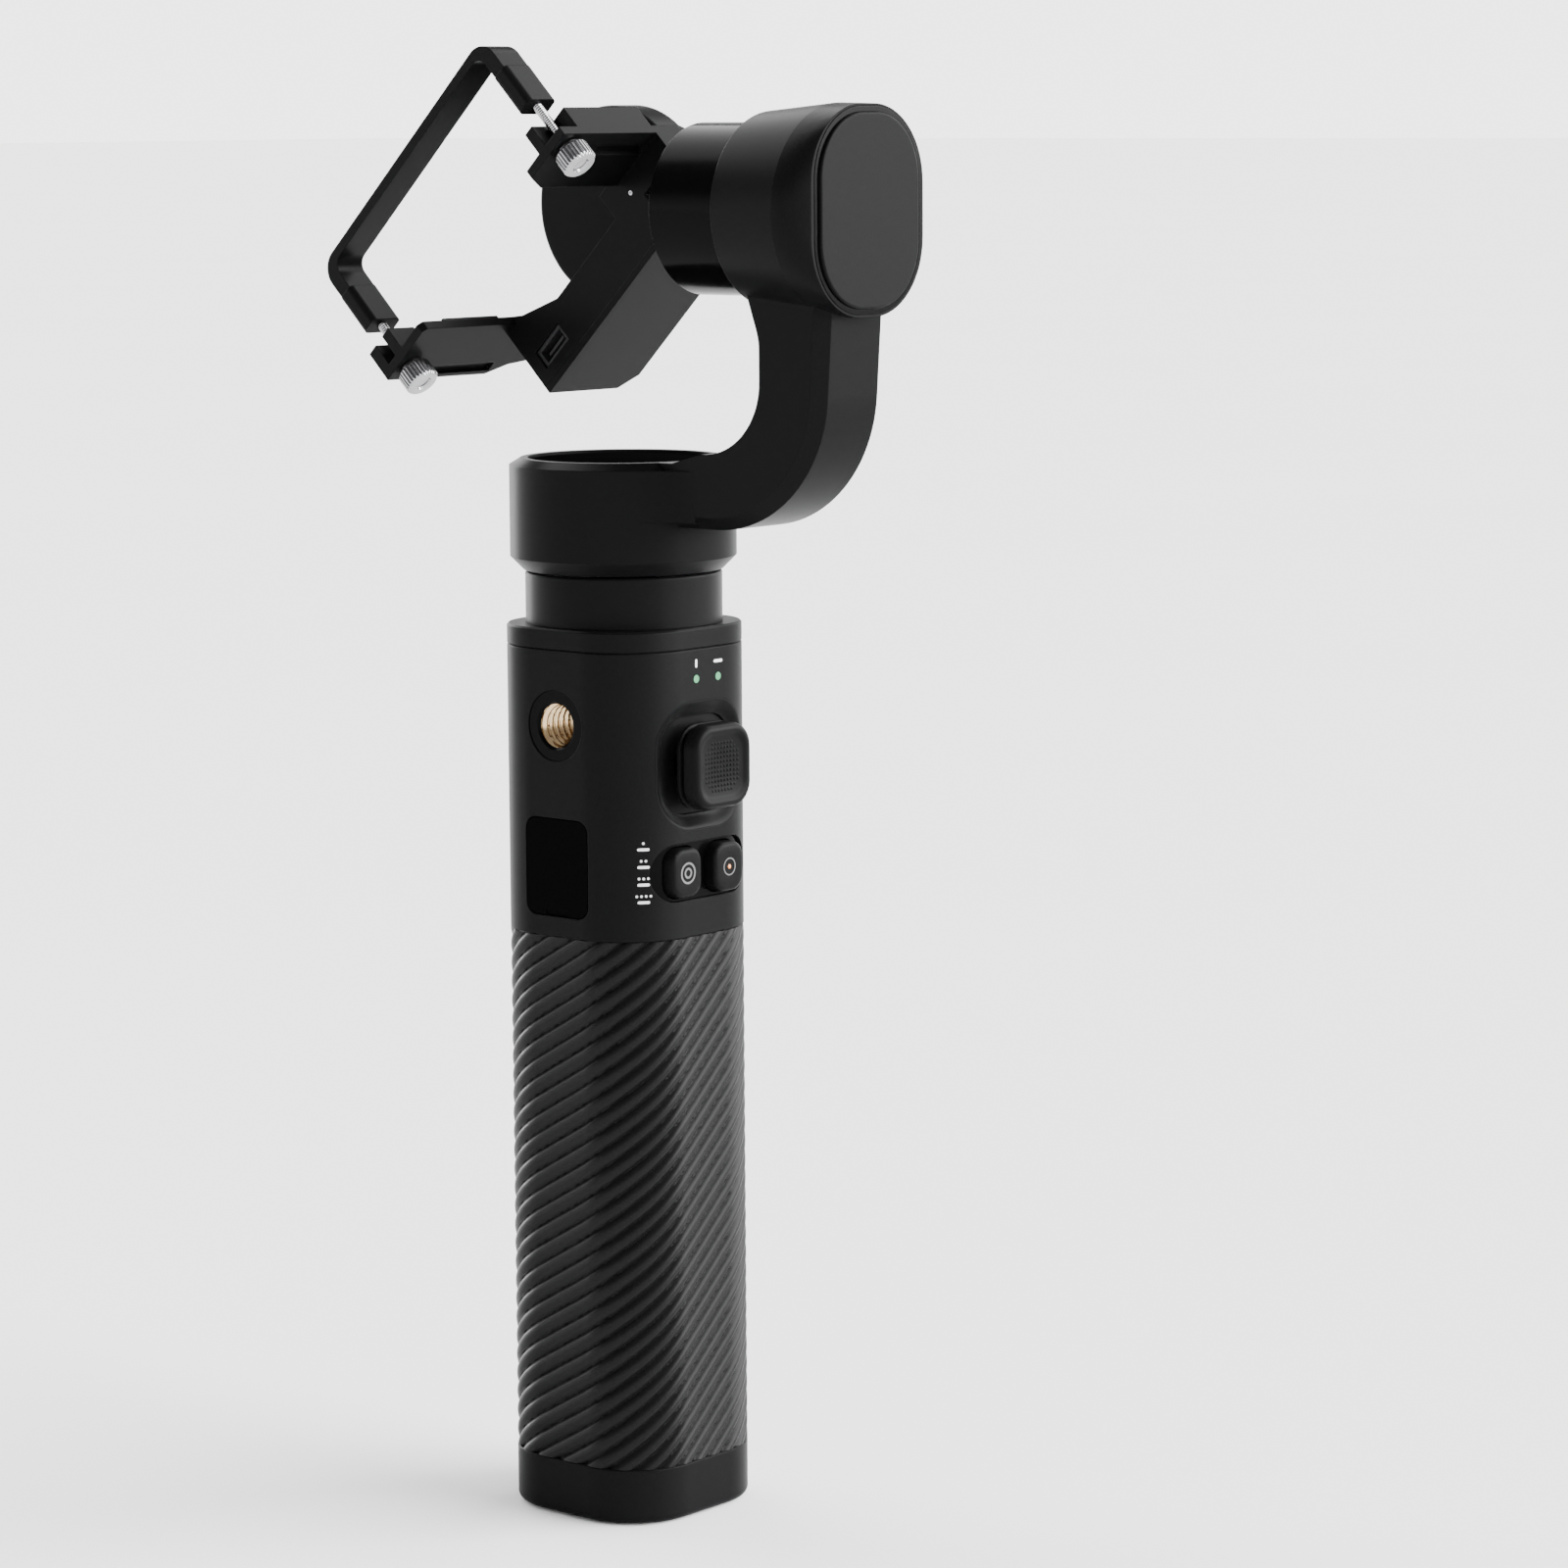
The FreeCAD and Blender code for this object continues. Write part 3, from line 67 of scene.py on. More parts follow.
GRIP_LOW, GRIP_HIGH = box_mm("grip_sleeve")
HALF = GRIP_HIGH.x
CORNER = 14.3  # radius of the handle's rounded corners
FLAT = HALF - CORNER
PERIMETER = 8 * FLAT + 2 * math.pi * CORNER
STICK_LOW, STICK_HIGH = box_mm("joystick_cap")
STICK_Z = (STICK_LOW.z + STICK_HIGH.z) / 2
ROLL_Z = sum(box_mm("roll_drum")[i].z for i in (0, 1)) / 2
TILT_Y = sum(box_mm("tilt_end_cap")[i].y for i in (0, 1)) / 2
BRACKET = Matrix.Translation((0, TILT_Y, ROLL_Z)) @ Matrix.Rotation(math.radians(45), 4, "X")
TO_PLUS_Y = Matrix.Rotation(math.radians(-90), 4, "X")
TO_MINUS_Y = Matrix.Rotation(math.radians(90), 4, "X")
TO_MINUS_X = Matrix.Rotation(math.radians(-90), 4, "Y")


# ---------------------------------------------------------------- materials


def new_material(name, color, roughness, metallic=0.0, specular=0.5, coat=0.0):
    material = bpy.data.materials.new(name)
    material.use_nodes = True
    shader = material.node_tree.nodes["Principled BSDF"]
    shader.inputs["Base Color"].default_value = (*color, 1)
    shader.inputs["Roughness"].default_value = roughness
    shader.inputs["Metallic"].default_value = metallic
    shader.inputs["Specular IOR Level"].default_value = specular
    shader.inputs["Coat Weight"].default_value = coat
    material.diffuse_color = (*color, 1)
    return material


def add_noise(material, scale, color_spread=0.0, roughness_spread=0.0, bump=0.0, edge=0.0,
              stretch=(1, 1, 1)):
    """Varies colour, roughness and height with one noise in the object's own coordinates.

    edge softens the shading of sharp edges within that distance, in metres.
    """
    tree = material.node_tree
    nodes, links = tree.nodes, tree.links
    shader = nodes["Principled BSDF"]
    coords = nodes.new("ShaderNodeTexCoord")
    mapping = nodes.new("ShaderNodeMapping")
    mapping.inputs["Scale"].default_value = stretch
    noise = nodes.new("ShaderNodeTexNoise")
    noise.inputs["Scale"].default_value = scale
    noise.inputs["Detail"].default_value = 5
    links.new(coords.outputs["Object"], mapping.inputs["Vector"])
    links.new(mapping.outputs["Vector"], noise.inputs["Vector"])
    if color_spread:
        ramp = nodes.new("ShaderNodeValToRGB")
        base = shader.inputs["Base Color"].default_value
        for stop, factor in zip(ramp.color_ramp.elements, (1 - color_spread, 1 + color_spread)):
            stop.color = (*[min(1, c * factor) for c in base[:3]], 1)
        ramp.color_ramp.elements[0].position = 0.3
        ramp.color_ramp.elements[1].position = 0.7
        links.new(noise.outputs["Fac"], ramp.inputs["Fac"])
        links.new(ramp.outputs["Color"], shader.inputs["Base Color"])
    if roughness_spread:
        rough = nodes.new("ShaderNodeMapRange")
        middle = shader.inputs["Roughness"].default_value
        rough.inputs["To Min"].default_value = middle - roughness_spread
        rough.inputs["To Max"].default_value = middle + roughness_spread
        links.new(noise.outputs["Fac"], rough.inputs["Value"])
        links.new(rough.outputs["Result"], shader.inputs["Roughness"])
    if bump:
        height = nodes.new("ShaderNodeBump")
        height.inputs["Strength"].default_value = bump
        height.inputs["Distance"].default_value = 0.00004
        links.new(noise.outputs["Fac"], height.inputs["Height"])
        links.new(height.outputs["Normal"], shader.inputs["Normal"])
        if edge:
            softened = nodes.new("ShaderNodeBevel")
            softened.samples = 4
            softened.inputs["Radius"].default_value = edge
            links.new(softened.outputs["Normal"], height.inputs["Normal"])
    return material


def glowing(material, color, strength):
    shader = material.node_tree.nodes["Principled BSDF"]
    shader.inputs["Emission Color"].default_value = (*color, 1)
    shader.inputs["Emission Strength"].default_value = strength
    return material


def finish(name, color, roughness, scale, color_spread, roughness_spread=0.0, bump=0.0, edge=0.0,
           stretch=(1, 1, 1), **gloss):
    """A material with one colour that its noise varies a little."""
    material = new_material(name, color, roughness, **gloss)
    return add_noise(material, scale, color_spread, roughness_spread, bump, edge, stretch)


def board_material():
    """Green solder mask with lighter copper tracks under it."""
    material = add_noise(new_material("board_green", (0.012, 0.09, 0.04), 0.3), 900, bump=0.2)
    tree = material.node_tree
    brick = tree.nodes.new("ShaderNodeTexBrick")
    coords = tree.nodes.new("ShaderNodeTexCoord")
    brick.inputs["Scale"].default_value = 260
    brick.inputs["Color1"].default_value = (0.012, 0.09, 0.04, 1)
    brick.inputs["Color2"].default_value = (0.016, 0.11, 0.05, 1)
    brick.inputs["Mortar"].default_value = (0.03, 0.2, 0.09, 1)
    tree.links.new(coords.outputs["Object"], brick.inputs["Vector"])
    tree.links.new(brick.outputs["Color"], tree.nodes["Principled BSDF"].inputs["Base Color"])
    return material


SOFT_EDGE = 0.0003
MATERIALS = {
    "satin_black": finish("satin_black", (0.0033, 0.0033, 0.0035), 0.38, 2600, 0.15, 0.05, 0.25, SOFT_EDGE,
                          specular=0.03),
    "soft_black": finish("soft_black", (0.0022, 0.0022, 0.0023), 0.85, 3000, 0.15, 0.05, 0.3, specular=0.0),
    "gloss_black": finish("gloss_black", (0.001, 0.001, 0.0011), 0.16, 700, 0.1, 0.04, 0.05, SOFT_EDGE,
                          specular=0.03),
    "anodised_black": finish("anodised_black", (0.0032, 0.0032, 0.0034), 0.34, 3400, 0.15, 0.05, 0.2,
                             SOFT_EDGE, specular=0.03),
    "grip_rubber": finish("grip_rubber", (0.0036, 0.0036, 0.0038), 0.36, 2200, 0.15, 0.06, 0.3,
                          specular=0.08),
    "inner_plastic": finish("inner_plastic", (0.012, 0.012, 0.0125), 0.5, 1500, 0.1, 0.05, 0.2, specular=0.2),
    "brass_insert": finish("brass_insert", (0.55, 0.4, 0.23), 0.15, 800, 0.12, 0.04, metallic=1),
    "steel": finish("steel", (0.32, 0.32, 0.34), 0.28, 900, 0.08, 0.08, stretch=(1, 1, 12), metallic=1),
    "knurled_steel": finish("knurled_steel", (0.3, 0.3, 0.31), 0.22, 900, 0.08, 0.07, metallic=1),
    "board_green": board_material(),
    "cell_wrap": finish("cell_wrap", (0.03, 0.12, 0.35), 0.35, 300, 0.06, 0.05, coat=0.3),
    "lamp_green": glowing(finish("lamp_green", (0.012, 0.14, 0.05), 0.3, 500, 0.1), (0.03, 0.5, 0.16), 0.12),
    "copper_windings": finish("copper_windings", (0.5, 0.2, 0.08), 0.35, 700, 0.15, 0.08,
                              stretch=(1, 1, 14), metallic=0.8),
}
WHITE_PRINT = finish("white_print", (0.55, 0.55, 0.55), 0.6, 900, 0.05)
GREY_PRINT = finish("grey_print", (0.05, 0.05, 0.052), 0.45, 900, 0.08)
AMBER_LAMP = glowing(finish("amber_lamp", (0.6, 0.2, 0.04), 0.3, 500, 0.1), (1.0, 0.3, 0.05), 0.25)
CONTACT_GOLD = finish("contact_gold", (0.8, 0.55, 0.2), 0.25, 900, 0.08, 0.05, metallic=1)


# ---------------------------------------------------------------- mesh helpers


def shade(mesh, angle=32):
    mesh.shade_smooth()
    mesh.set_sharp_from_angle(angle=math.radians(angle))


def mesh_piece(name, vertices, faces, material, body, place=None, angle=32):
    """One mesh piece from millimetre points, riding on a CAD body."""
    mesh = bpy.data.meshes.new(name)
    turn = place or Matrix.Identity(4)
    mesh.from_pydata([tuple((turn @ Vector(v)) * MM) for v in vertices], [], faces)
    mesh.validate()
    outward = bmesh.new()
    outward.from_mesh(mesh)
    bmesh.ops.recalc_face_normals(outward, faces=outward.faces)
    outward.to_mesh(mesh)
    outward.free()
    mesh.materials.append(material)
    shade(mesh, angle)
    piece = bpy.data.objects.new(name, mesh)
    bpy.context.scene.collection.objects.link(piece)
    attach(piece, body)
    return piece


class Shell:
    """Collects closed surfaces into one list of points and faces."""

    def __init__(self):
        self.vertices = []
        self.faces = []

    def loops(self, loops, closed=False):
        """Joins equal loops of points in turn. Ends are capped, or joined to each other if closed."""
        start = len(self.vertices)
        count = len(loops[0])
        for loop in loops:
            self.vertices.extend(loop)
        pairs = len(loops) if closed else len(loops) - 1
        for i in range(pairs):
            a = start + i * count
            b = start + ((i + 1) % len(loops)) * count
            for j in range(count):
                k = (j + 1) % count
                self.faces.append((a + j, a + k, b + k, b + j))
        if not closed:
            self.faces.append(tuple(start + j for j in reversed(range(count))))
            self.faces.append(tuple(start + (len(loops) - 1) * count + j for j in range(count)))

    def lathe(self, profile, steps=48):
        """Turns (radius, height) points about the Z axis."""
        self.loops([[(x, y, height) for x, y in circle(radius, steps)] for radius, height in profile])

    def block(self, low, high, bevel):
        """A box whose vertical edges and ends are bevelled."""
        cx, cy = (low[0] + high[0]) / 2, (low[1] + high[1]) / 2
        hx, hy = (high[0] - low[0]) / 2, (high[1] - low[1]) / 2

        def ring(inset, z):
            return [(cx + x, cy + y, z) for x, y in rounded_outline(hx - inset, hy - inset, bevel, 2)]

        self.loops([ring(bevel, low[2]), ring(0, low[2] + bevel),
                    ring(0, high[2] - bevel), ring(bevel, high[2])])

    def piece(self, name, material, slot, body, place=None, angle=32):
        return mesh_piece(name, self.vertices, self.faces, material, body, place, angle)


def circle(radius, steps):
    """Points of a circle round the origin, anticlockwise."""
    return [(radius * math.cos(2 * math.pi * j / steps), radius * math.sin(2 * math.pi * j / steps))
            for j in range(steps)]


def rounded_outline(half_wide, half_high, corner, steps=8):
    """Points of a rounded rectangle, anticlockwise."""
    points = []
    corner = min(corner, half_wide, half_high)
    for quarter in range(4):
        sx = (1, -1, -1, 1)[quarter]
        sy = (1, 1, -1, -1)[quarter]
        for j in range(steps + 1):
            a = (quarter + j / steps) * math.pi / 2
            points.append((sx * (half_wide - corner) + corner * math.cos(a),
                           sy * (half_high - corner) + corner * math.sin(a)))
    return points


def handle_point(s, z, lift=0.0):
    """A point on the handle's side. s runs round it from the middle of the front, positive towards +X."""
    arc = CORNER * math.pi / 2
    side = 2 * FLAT + arc
    s = (s + FLAT) % (4 * side)
    quarter = int(s // side)
    s -= quarter * side
    if s <= 2 * FLAT:
        x, y, nx, ny = s - FLAT, -HALF, 0.0, -1.0
    else:
        a = (s - 2 * FLAT) / CORNER
        nx, ny = math.sin(a), -math.cos(a)
        x, y = FLAT + CORNER * nx, -FLAT + CORNER * ny
    x, y = x + lift * nx, y + lift * ny
    for _ in range(quarter):
        x, y = -y, x
    return x, y, z


# ---------------------------------------------------------------- CAD nodes


def finish_cad_nodes():
    """Gives each CAD node the material of its slot."""
    slots = {entry["node"]: entry["material_slot"] for entry in frame["record"]["subparts"]}
    for node, obj in frame["nodes"].items():
        obj.data.materials.clear()
        obj.data.materials.append(MATERIALS[slots[node]])
        shade(obj.data, 28)


# ---------------------------------------------------------------- grip


def make_grip_sleeve():
    """Rubber sleeve with slanting ribs: wide round crests and narrow grooves."""
    pitch = 3.9
    ribs = 27
    depth = 1.05
    crest_power = 0.65  # a lower power makes the crests wider and the grooves narrower
    wall = 1.7
    around = 330
    rows = 340
    low, high = GRIP_LOW.z, GRIP_HIGH.z
    mean = ribs * pitch / PERIMETER
    slope_swing = 0.17  # the ribs climb fastest in the middle of the front and the back
    swing = slope_swing * PERIMETER / (4 * math.pi)

    def climb(s):
        return mean * s + swing * math.sin(4 * math.pi * s / PERIMETER)

    def ring(z, lift=None):
        points = []
        for j in range(around):
            s = PERIMETER * j / around
            if lift is None:
                phase = ((z - low - climb(s)) / pitch) % 1
                out = -depth * (1 - math.sin(math.pi * phase) ** crest_power)
            else:
                out = lift
            points.append(handle_point(s, z, out))
        return points

    shell = Shell()
    rings = [ring(low, -wall)]
    rings += [ring(low + (high - low) * i / rows) for i in range(rows + 1)]
    rings.append(ring(high, -wall))
    shell.loops(rings, closed=True)
    sleeve = shell.piece("ribbed_grip", MATERIALS["grip_rubber"], "grip_rubber", "handle", angle=50)
    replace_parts(sleeve, "grip_sleeve")


# ---------------------------------------------------------------- threads and thumbscrews


def make_insert(name, node, place, minor, major, pitch, outer, depth, length):
    """Brass insert with a real internal thread. Its mouth is at Z = 0 and it runs to -Z."""
    steps = 64
    rows_per_pitch = 12
    lead_in_rows = 8
    chamfer = 0.25
    mouth_chamfer = 0.2
    mouth = 0.1  # the thread starts this far in

    def plain(radius, z):
        return [(x, y, z) for x, y in circle(radius, steps)]

    rings = [
        plain(outer - chamfer, -length),
        plain(outer, -length + chamfer),
        plain(outer, -mouth_chamfer),
        plain(outer - mouth_chamfer, 0),
        plain(major + mouth, 0),
    ]
    rows = int(depth / pitch * rows_per_pitch)
    for i in range(rows + 1):
        z = -depth * i / rows
        lead_in = 1 - min(1, i / lead_in_rows)
        ring = []
        for j in range(steps):
            a = 2 * math.pi * j / steps
            phase = (z / pitch - j / steps) % 1
            ramp = 1 - abs(2 * phase - 1)
            cut = min(1, max(0, 1.7 * ramp - 0.35))  # flats on the crests and roots
            radius = minor + (major - minor) * max(cut, lead_in)
            ring.append((radius * math.cos(a), radius * math.sin(a), z - mouth))
        rings.append(ring)
    rings.append(plain(minor * 0.3, -depth - 0.5))
    shell = Shell()
    shell.loops(rings)
    piece = shell.piece(name, MATERIALS["brass_insert"], "brass_insert", "handle", place, angle=50)
    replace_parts(piece, node)


def make_inserts():
    """The 1/4-20 thread in the base and the 3/8-16 thread in the -X side."""
    low, high = box_mm("tripod_insert")
    upside_down = Matrix.Rotation(math.pi, 4, "X")
    make_insert("tripod_thread_brass", "tripod_insert", upside_down, minor=2.55, major=3.17, pitch=1.27,
                outer=high.x, depth=7.6, length=high.z - low.z)
    low, high = box_mm("side_thread_insert")
    place = Matrix.Translation((low.x, 0, (low.z + high.z) / 2)) @ TO_MINUS_X
    make_insert("side_thread_brass", "side_thread_insert", place, minor=3.97, major=4.72, pitch=1.5875,
                outer=high.y, depth=10.2, length=high.x - low.x)


def make_thumbscrew(node, body, side):
    """Knurled head, collar and threaded rod, along the bracket's own Y axis."""
    head = 3.6
    length = 4.6
    ridges = 28
    steps = ridges * 6
    head_end = -14.3
    start = head_end - length
    shell = Shell()

    def ring(radius, z, knurl=0.0):
        points = []
        for j in range(steps):
            a = 2 * math.pi * j / steps
            r = radius - knurl * (0.5 + 0.5 * math.cos(a * ridges)) ** 2
            points.append((r * math.cos(a), r * math.sin(a), z))
        return points

    shell.loops([
        ring(0.6, start + 0.5),
        ring(1.5, start + 0.45),
        ring(1.8, start),
        ring(head - 0.5, start),
        ring(head - 0.12, start + 0.35, 0.2),
        ring(head, start + 0.6, 0.36),
        ring(head, start + length - 1.0, 0.36),
        ring(head - 0.12, start + length - 0.75, 0.2),
        ring(head - 0.9, start + length - 0.55),
        ring(head - 0.9, start + length),
        ring(1.0, start + length),
    ])
    rod, rod_radius, rod_steps = [], 1.0, 20
    pitch, thread_depth, rows_per_pitch = 0.5, 0.16, 5
    rod_start, rod_end = start + length - 0.2, 5.0
    rows = int((rod_end - rod_start) / pitch * rows_per_pitch)
    for i in range(rows + 1):
        z = rod_start + (rod_end - rod_start) * i / rows
        points = []
        for j in range(rod_steps):
            phase = (z / pitch - j / rod_steps) % 1
            radius = rod_radius - thread_depth * abs(2 * phase - 1)
            a = 2 * math.pi * j / rod_steps
            points.append((radius * math.cos(a), radius * math.sin(a), z))
        rod.append(points)
    shell.loops(rod)
    screw_x, screw_z = -20.4, 31.1  # in the bracket's own axes, from the tilt axis
    place = BRACKET @ Matrix.Translation((screw_x, 0, side * screw_z)) @ TO_PLUS_Y
    piece = shell.piece(f"{node}_knurled", MATERIALS["knurled_steel"], "knurled_steel", body, place, angle=24)
    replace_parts(piece, node)


def make_bracket_rivet():
    """The small bright screw head on the side of the bracket's box."""
    low, high = -0.4, 0.12
    shell = Shell()
    shell.lathe([(0.1, low), (0.5, low), (0.5, high - 0.06), (0.42, high), (0.2, high), (0.15, high - 0.12),
                 (0.05, high - 0.12)], steps=20)
    spot = (2.5, -17.5, 21.6)  # in the bracket's own axes
    place = BRACKET @ Matrix.Translation(spot) @ TO_MINUS_X
    shell.piece("bracket_screw_head", MATERIALS["steel"], "anodised_black", "camera_mount", place)


# ---------------------------------------------------------------- joystick and buttons


def front_loft(shell, sections, x, z, steps=8):
    """Rounded rectangles that face -Y. Each section is (depth, half width, half height, corner)."""
    loops = []
    for depth, half_wide, half_high, corner in sections:
        outline = rounded_outline(half_wide, half_high, corner, steps)
        loops.append([(x + px, -depth, z + pz) for px, pz in outline])
    shell.loops(loops)


def front_depth(x):
    """How far in front of the handle's axis its surface lies at x."""
    beyond = max(0.0, abs(x) - FLAT)
    return FLAT + math.sqrt(CORNER ** 2 - beyond ** 2)


def make_dish():
    """Bowl round the joystick: its rim follows the handle, then it falls smoothly to the floor."""
    outer, inner = box_mm("joystick_dish")[1].x, 9.9
    back, floor = 17.4, 18.7
    corner, floor_corner, stem_hole = 9, 5.9, 6.2
    rim_sink = 1.7
    around, down = 12, 9

    def ring(half, radius, depth):
        return [(x, -depth, STICK_Z + z) for x, z in rounded_outline(half, half, radius, around)]

    loops = [ring(outer, corner, back)]
    for i in range(down + 1):
        t = i / down
        half = outer + (inner - outer) * t
        sink = rim_sink * t * t * (3 - 2 * t)
        loops.append([(x, -front_depth(x) + sink, STICK_Z + z)
                      for x, z in rounded_outline(half, half, corner - (outer - half), around)])
    loops.append(ring(inner - 0.1, floor_corner, floor))
    loops.append(ring(stem_hole, stem_hole, floor))
    loops.append(ring(stem_hole, stem_hole, back))
    shell = Shell()
    shell.loops(loops, closed=True)
    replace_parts(shell.piece("joystick_bowl", MATERIALS["satin_black"], "satin_black", "handle", angle=40),
                "joystick_dish")


def add_grip_dots(shell, half, face):
    """Fine dots all over the dished face of the joystick."""
    gap = 0.95
    rim, dish = 2.9, 0.22
    reach = int((half - 3.2) / gap)
    for i in range(-reach, reach + 1):
        for j in range(-reach, reach + 1):
            if abs(i) + abs(j) > 1.62 * reach:  # leaves the corners free
                continue
            x, z = i * gap, j * gap
            depth = face - 0.85 + dish * min(1, max(abs(x), abs(z)) / (half - rim))
            shell.loops([[(x + u, -(depth + rise), STICK_Z + z + v) for u, v in circle(radius, 6)]
                         for radius, rise in ((0.3, -0.1), (0.26, 0.06), (0.12, 0.13))])


def make_joystick():
    """Soft square cap with a skirt, a neck and a dished face, on a stem with its steel pins."""
    half = STICK_HIGH.x
    face = -STICK_LOW.y
    back = face - 5.2
    pivot = 14.0
    sections = [
        (back - 0.35, half - 2.2, 3.6),
        (back - 0.25, half - 0.35, 4.8),
        (back + 0.05, half, 5.1),
        (back + 0.6, half, 5.1),
        (back + 0.85, half - 0.25, 5.0),
        (back + 0.95, half - 1.0, 4.4),
        (back + 1.5, half - 1.0, 4.4),
        (back + 1.6, half - 0.3, 4.9),
        (back + 1.9, half, 5.1),
        (face - 1.3, half - 0.1, 5.0),
        (face - 0.5, half - 0.35, 4.8),
        (face - 0.1, half - 0.8, 4.4),
        (face, half - 1.3, 4.0),
        (face - 0.08, half - 1.8, 3.7),
        (face - 0.45, half - 2.2, 3.4),
        (face - 0.6, half - 2.9, 3.0),
        (face - 0.85, 2.6, 2.2),
        (face - 0.9, 0.5, 0.4),
    ]
    shell = Shell()
    front_loft(shell, [(depth, wide, wide, corner) for depth, wide, corner in sections], 0, STICK_Z, 10)
    add_grip_dots(shell, half, face)
    cap = shell.piece("joystick_thumb_pad", MATERIALS["satin_black"], "satin_black", "joystick", angle=40)
    stem = Shell()
    stem.lathe([(0.5, pivot - 1.4), (2.0, pivot - 1.3), (2.4, pivot - 0.8), (2.4, back - 3.2),
                (2.9, back - 2.2), (4.4, back - 0.8), (5.2, back + 0.1)])
    stem.piece("joystick_stem", MATERIALS["gloss_black"], "satin_black", "joystick",
               Matrix.Translation((0, 0, STICK_Z)) @ TO_MINUS_Y)
    pins = Shell()
    pins.lathe([(0.5, -5.2), (0.75, -5.0), (0.75, 5.0), (0.5, 5.2)], steps=20)
    pins.piece("joystick_trunnion", MATERIALS["steel"], "satin_black", "joystick",
               Matrix.Translation((0, -pivot, STICK_Z)))
    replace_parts(cap, "joystick_cap")


def make_button(node, body):
    """A softly crowned key with a rounded edge and the stem that presses its switch."""
    low, high = box_mm(node)
    x, z = (low.x + high.x) / 2, (low.z + high.z) / 2
    wide, high_half, face = (high.x - low.x) / 2, (high.z - low.z) / 2, -low.y
    shell = Shell()
    front_loft(shell, [
        (18.4, wide, high_half, 3.0),
        (face - 0.9, wide, high_half, 3.0),
        (face - 0.45, wide - 0.12, high_half - 0.12, 2.9),
        (face - 0.15, wide - 0.45, high_half - 0.45, 2.7),
        (face - 0.03, wide - 0.95, high_half - 0.95, 2.4),
        (face - 0.1, wide * 0.5, high_half * 0.5, 1.6),
        (face - 0.12, 0.4, 0.4, 0.3),
    ], x, z)
    shell.loops([[(x + u, y, z + v) for u, v in circle(radius, 20)]
                 for radius, y in ((1.6, -18.5), (1.6, -15.2), (1.3, high.y))])
    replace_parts(shell.piece(f"{node}_key", MATERIALS["satin_black"], "satin_black", body, angle=36), node)
    return x, z, face


def front_ring(shell, x, z, radius, wide, face, steps=28):
    """A thin raised ring that faces -Y."""
    inner, outer = radius - wide / 2, radius + wide / 2
    low, high = face - 0.12, face + 0.03
    section = ((inner, low), (inner, high), (outer, high), (outer, low))
    shell.loops([[(x + u, -depth, z + v) for u, v in circle(r, steps)] for r, depth in section], closed=True)


def make_buttons():
    """Both keys, each with a plain round mark, and the lamp in the power key."""
    crown = 0.1  # the middle of a key lies this far behind its highest part
    x, z, face = make_button("mode_button", "mode_key")
    mark = Shell()
    front_ring(mark, x, z, 2.0, 0.42, face - crown)
    front_ring(mark, x, z, 0.9, 0.42, face - crown)
    mark.piece("mode_symbol", GREY_PRINT, "inner_plastic", "mode_key")
    x, z, face = make_button("power_button", "power_key")
    lamp = Shell()
    lamp.lathe([(0.45, -0.3), (0.45, 0.0), (0.3, 0.08), (0.1, 0.1)], steps=20)
    place = Matrix.Translation((x, -face + crown, z)) @ TO_MINUS_Y
    lamp.piece("power_lamp", AMBER_LAMP, "lamp_green", "power_key", place)
    mark = Shell()
    front_ring(mark, x, z, 1.7, 0.25, face - crown)
    mark.piece("power_symbol", GREY_PRINT, "inner_plastic", "power_key")


# ---------------------------------------------------------------- printed marks


PRINT_TOP, PRINT_ROOT = 0.035, -0.12  # heights over the handle's surface


def print_patch(shell, s, z, outline):
    """A small flat printed shape on the handle's side: a low slab over an outline in (s, z)."""
    shell.loops([[handle_point(s + u, z + v, lift) for u, v in outline] for lift in (PRINT_ROOT, PRINT_TOP)])


def print_bar(shell, s, z, half_wide, half_high, columns=10):
    """A flat printed bar with rounded ends, bent round the handle's corner column by column."""
    loops = []
    for i in range(columns + 1):
        u = half_wide * math.sin(math.pi * (i / columns - 0.5))
        past = max(0, abs(u) - half_wide + half_high) / half_high
        high = half_high * math.sqrt(1 - 0.85 * past * past)
        section = ((high, PRINT_ROOT), (high, PRINT_TOP), (-high, PRINT_TOP), (-high, PRINT_ROOT))
        loops.append([handle_point(s + u, z + v, lift) for v, lift in section])
    shell.loops(loops)


def make_prints():
    """Four rows of mode dots, each with a plain bar, and two plain marks over the status lamps."""
    shell = Shell()
    dot = rounded_outline(0.26, 0.26, 0.26, 4)
    dot_gap, dot_rise = 0.95, 1.25
    modes_s, top_row_z, row_gap = -15.8, 138.4, 3.55
    for row in range(4):
        z = top_row_z - row_gap * row
        for i in range(row + 1):
            print_patch(shell, modes_s + (i - row / 2) * dot_gap, z + dot_rise, dot)
        print_bar(shell, modes_s, z, 1.25, 0.28)
    lamps_low, lamps_high = box_mm("status_lamps")
    lamp_radius, marks_z = 0.8, 174.7
    print_patch(shell, lamps_low.x + lamp_radius, marks_z, rounded_outline(0.3, 0.85, 0.3, 4))
    print_patch(shell, lamps_high.x - lamp_radius, marks_z, rounded_outline(1.3, 0.3, 0.3, 4))
    shell.piece("printed_marks", WHITE_PRINT, "inner_plastic", "handle")


# ---------------------------------------------------------------- motors and boards


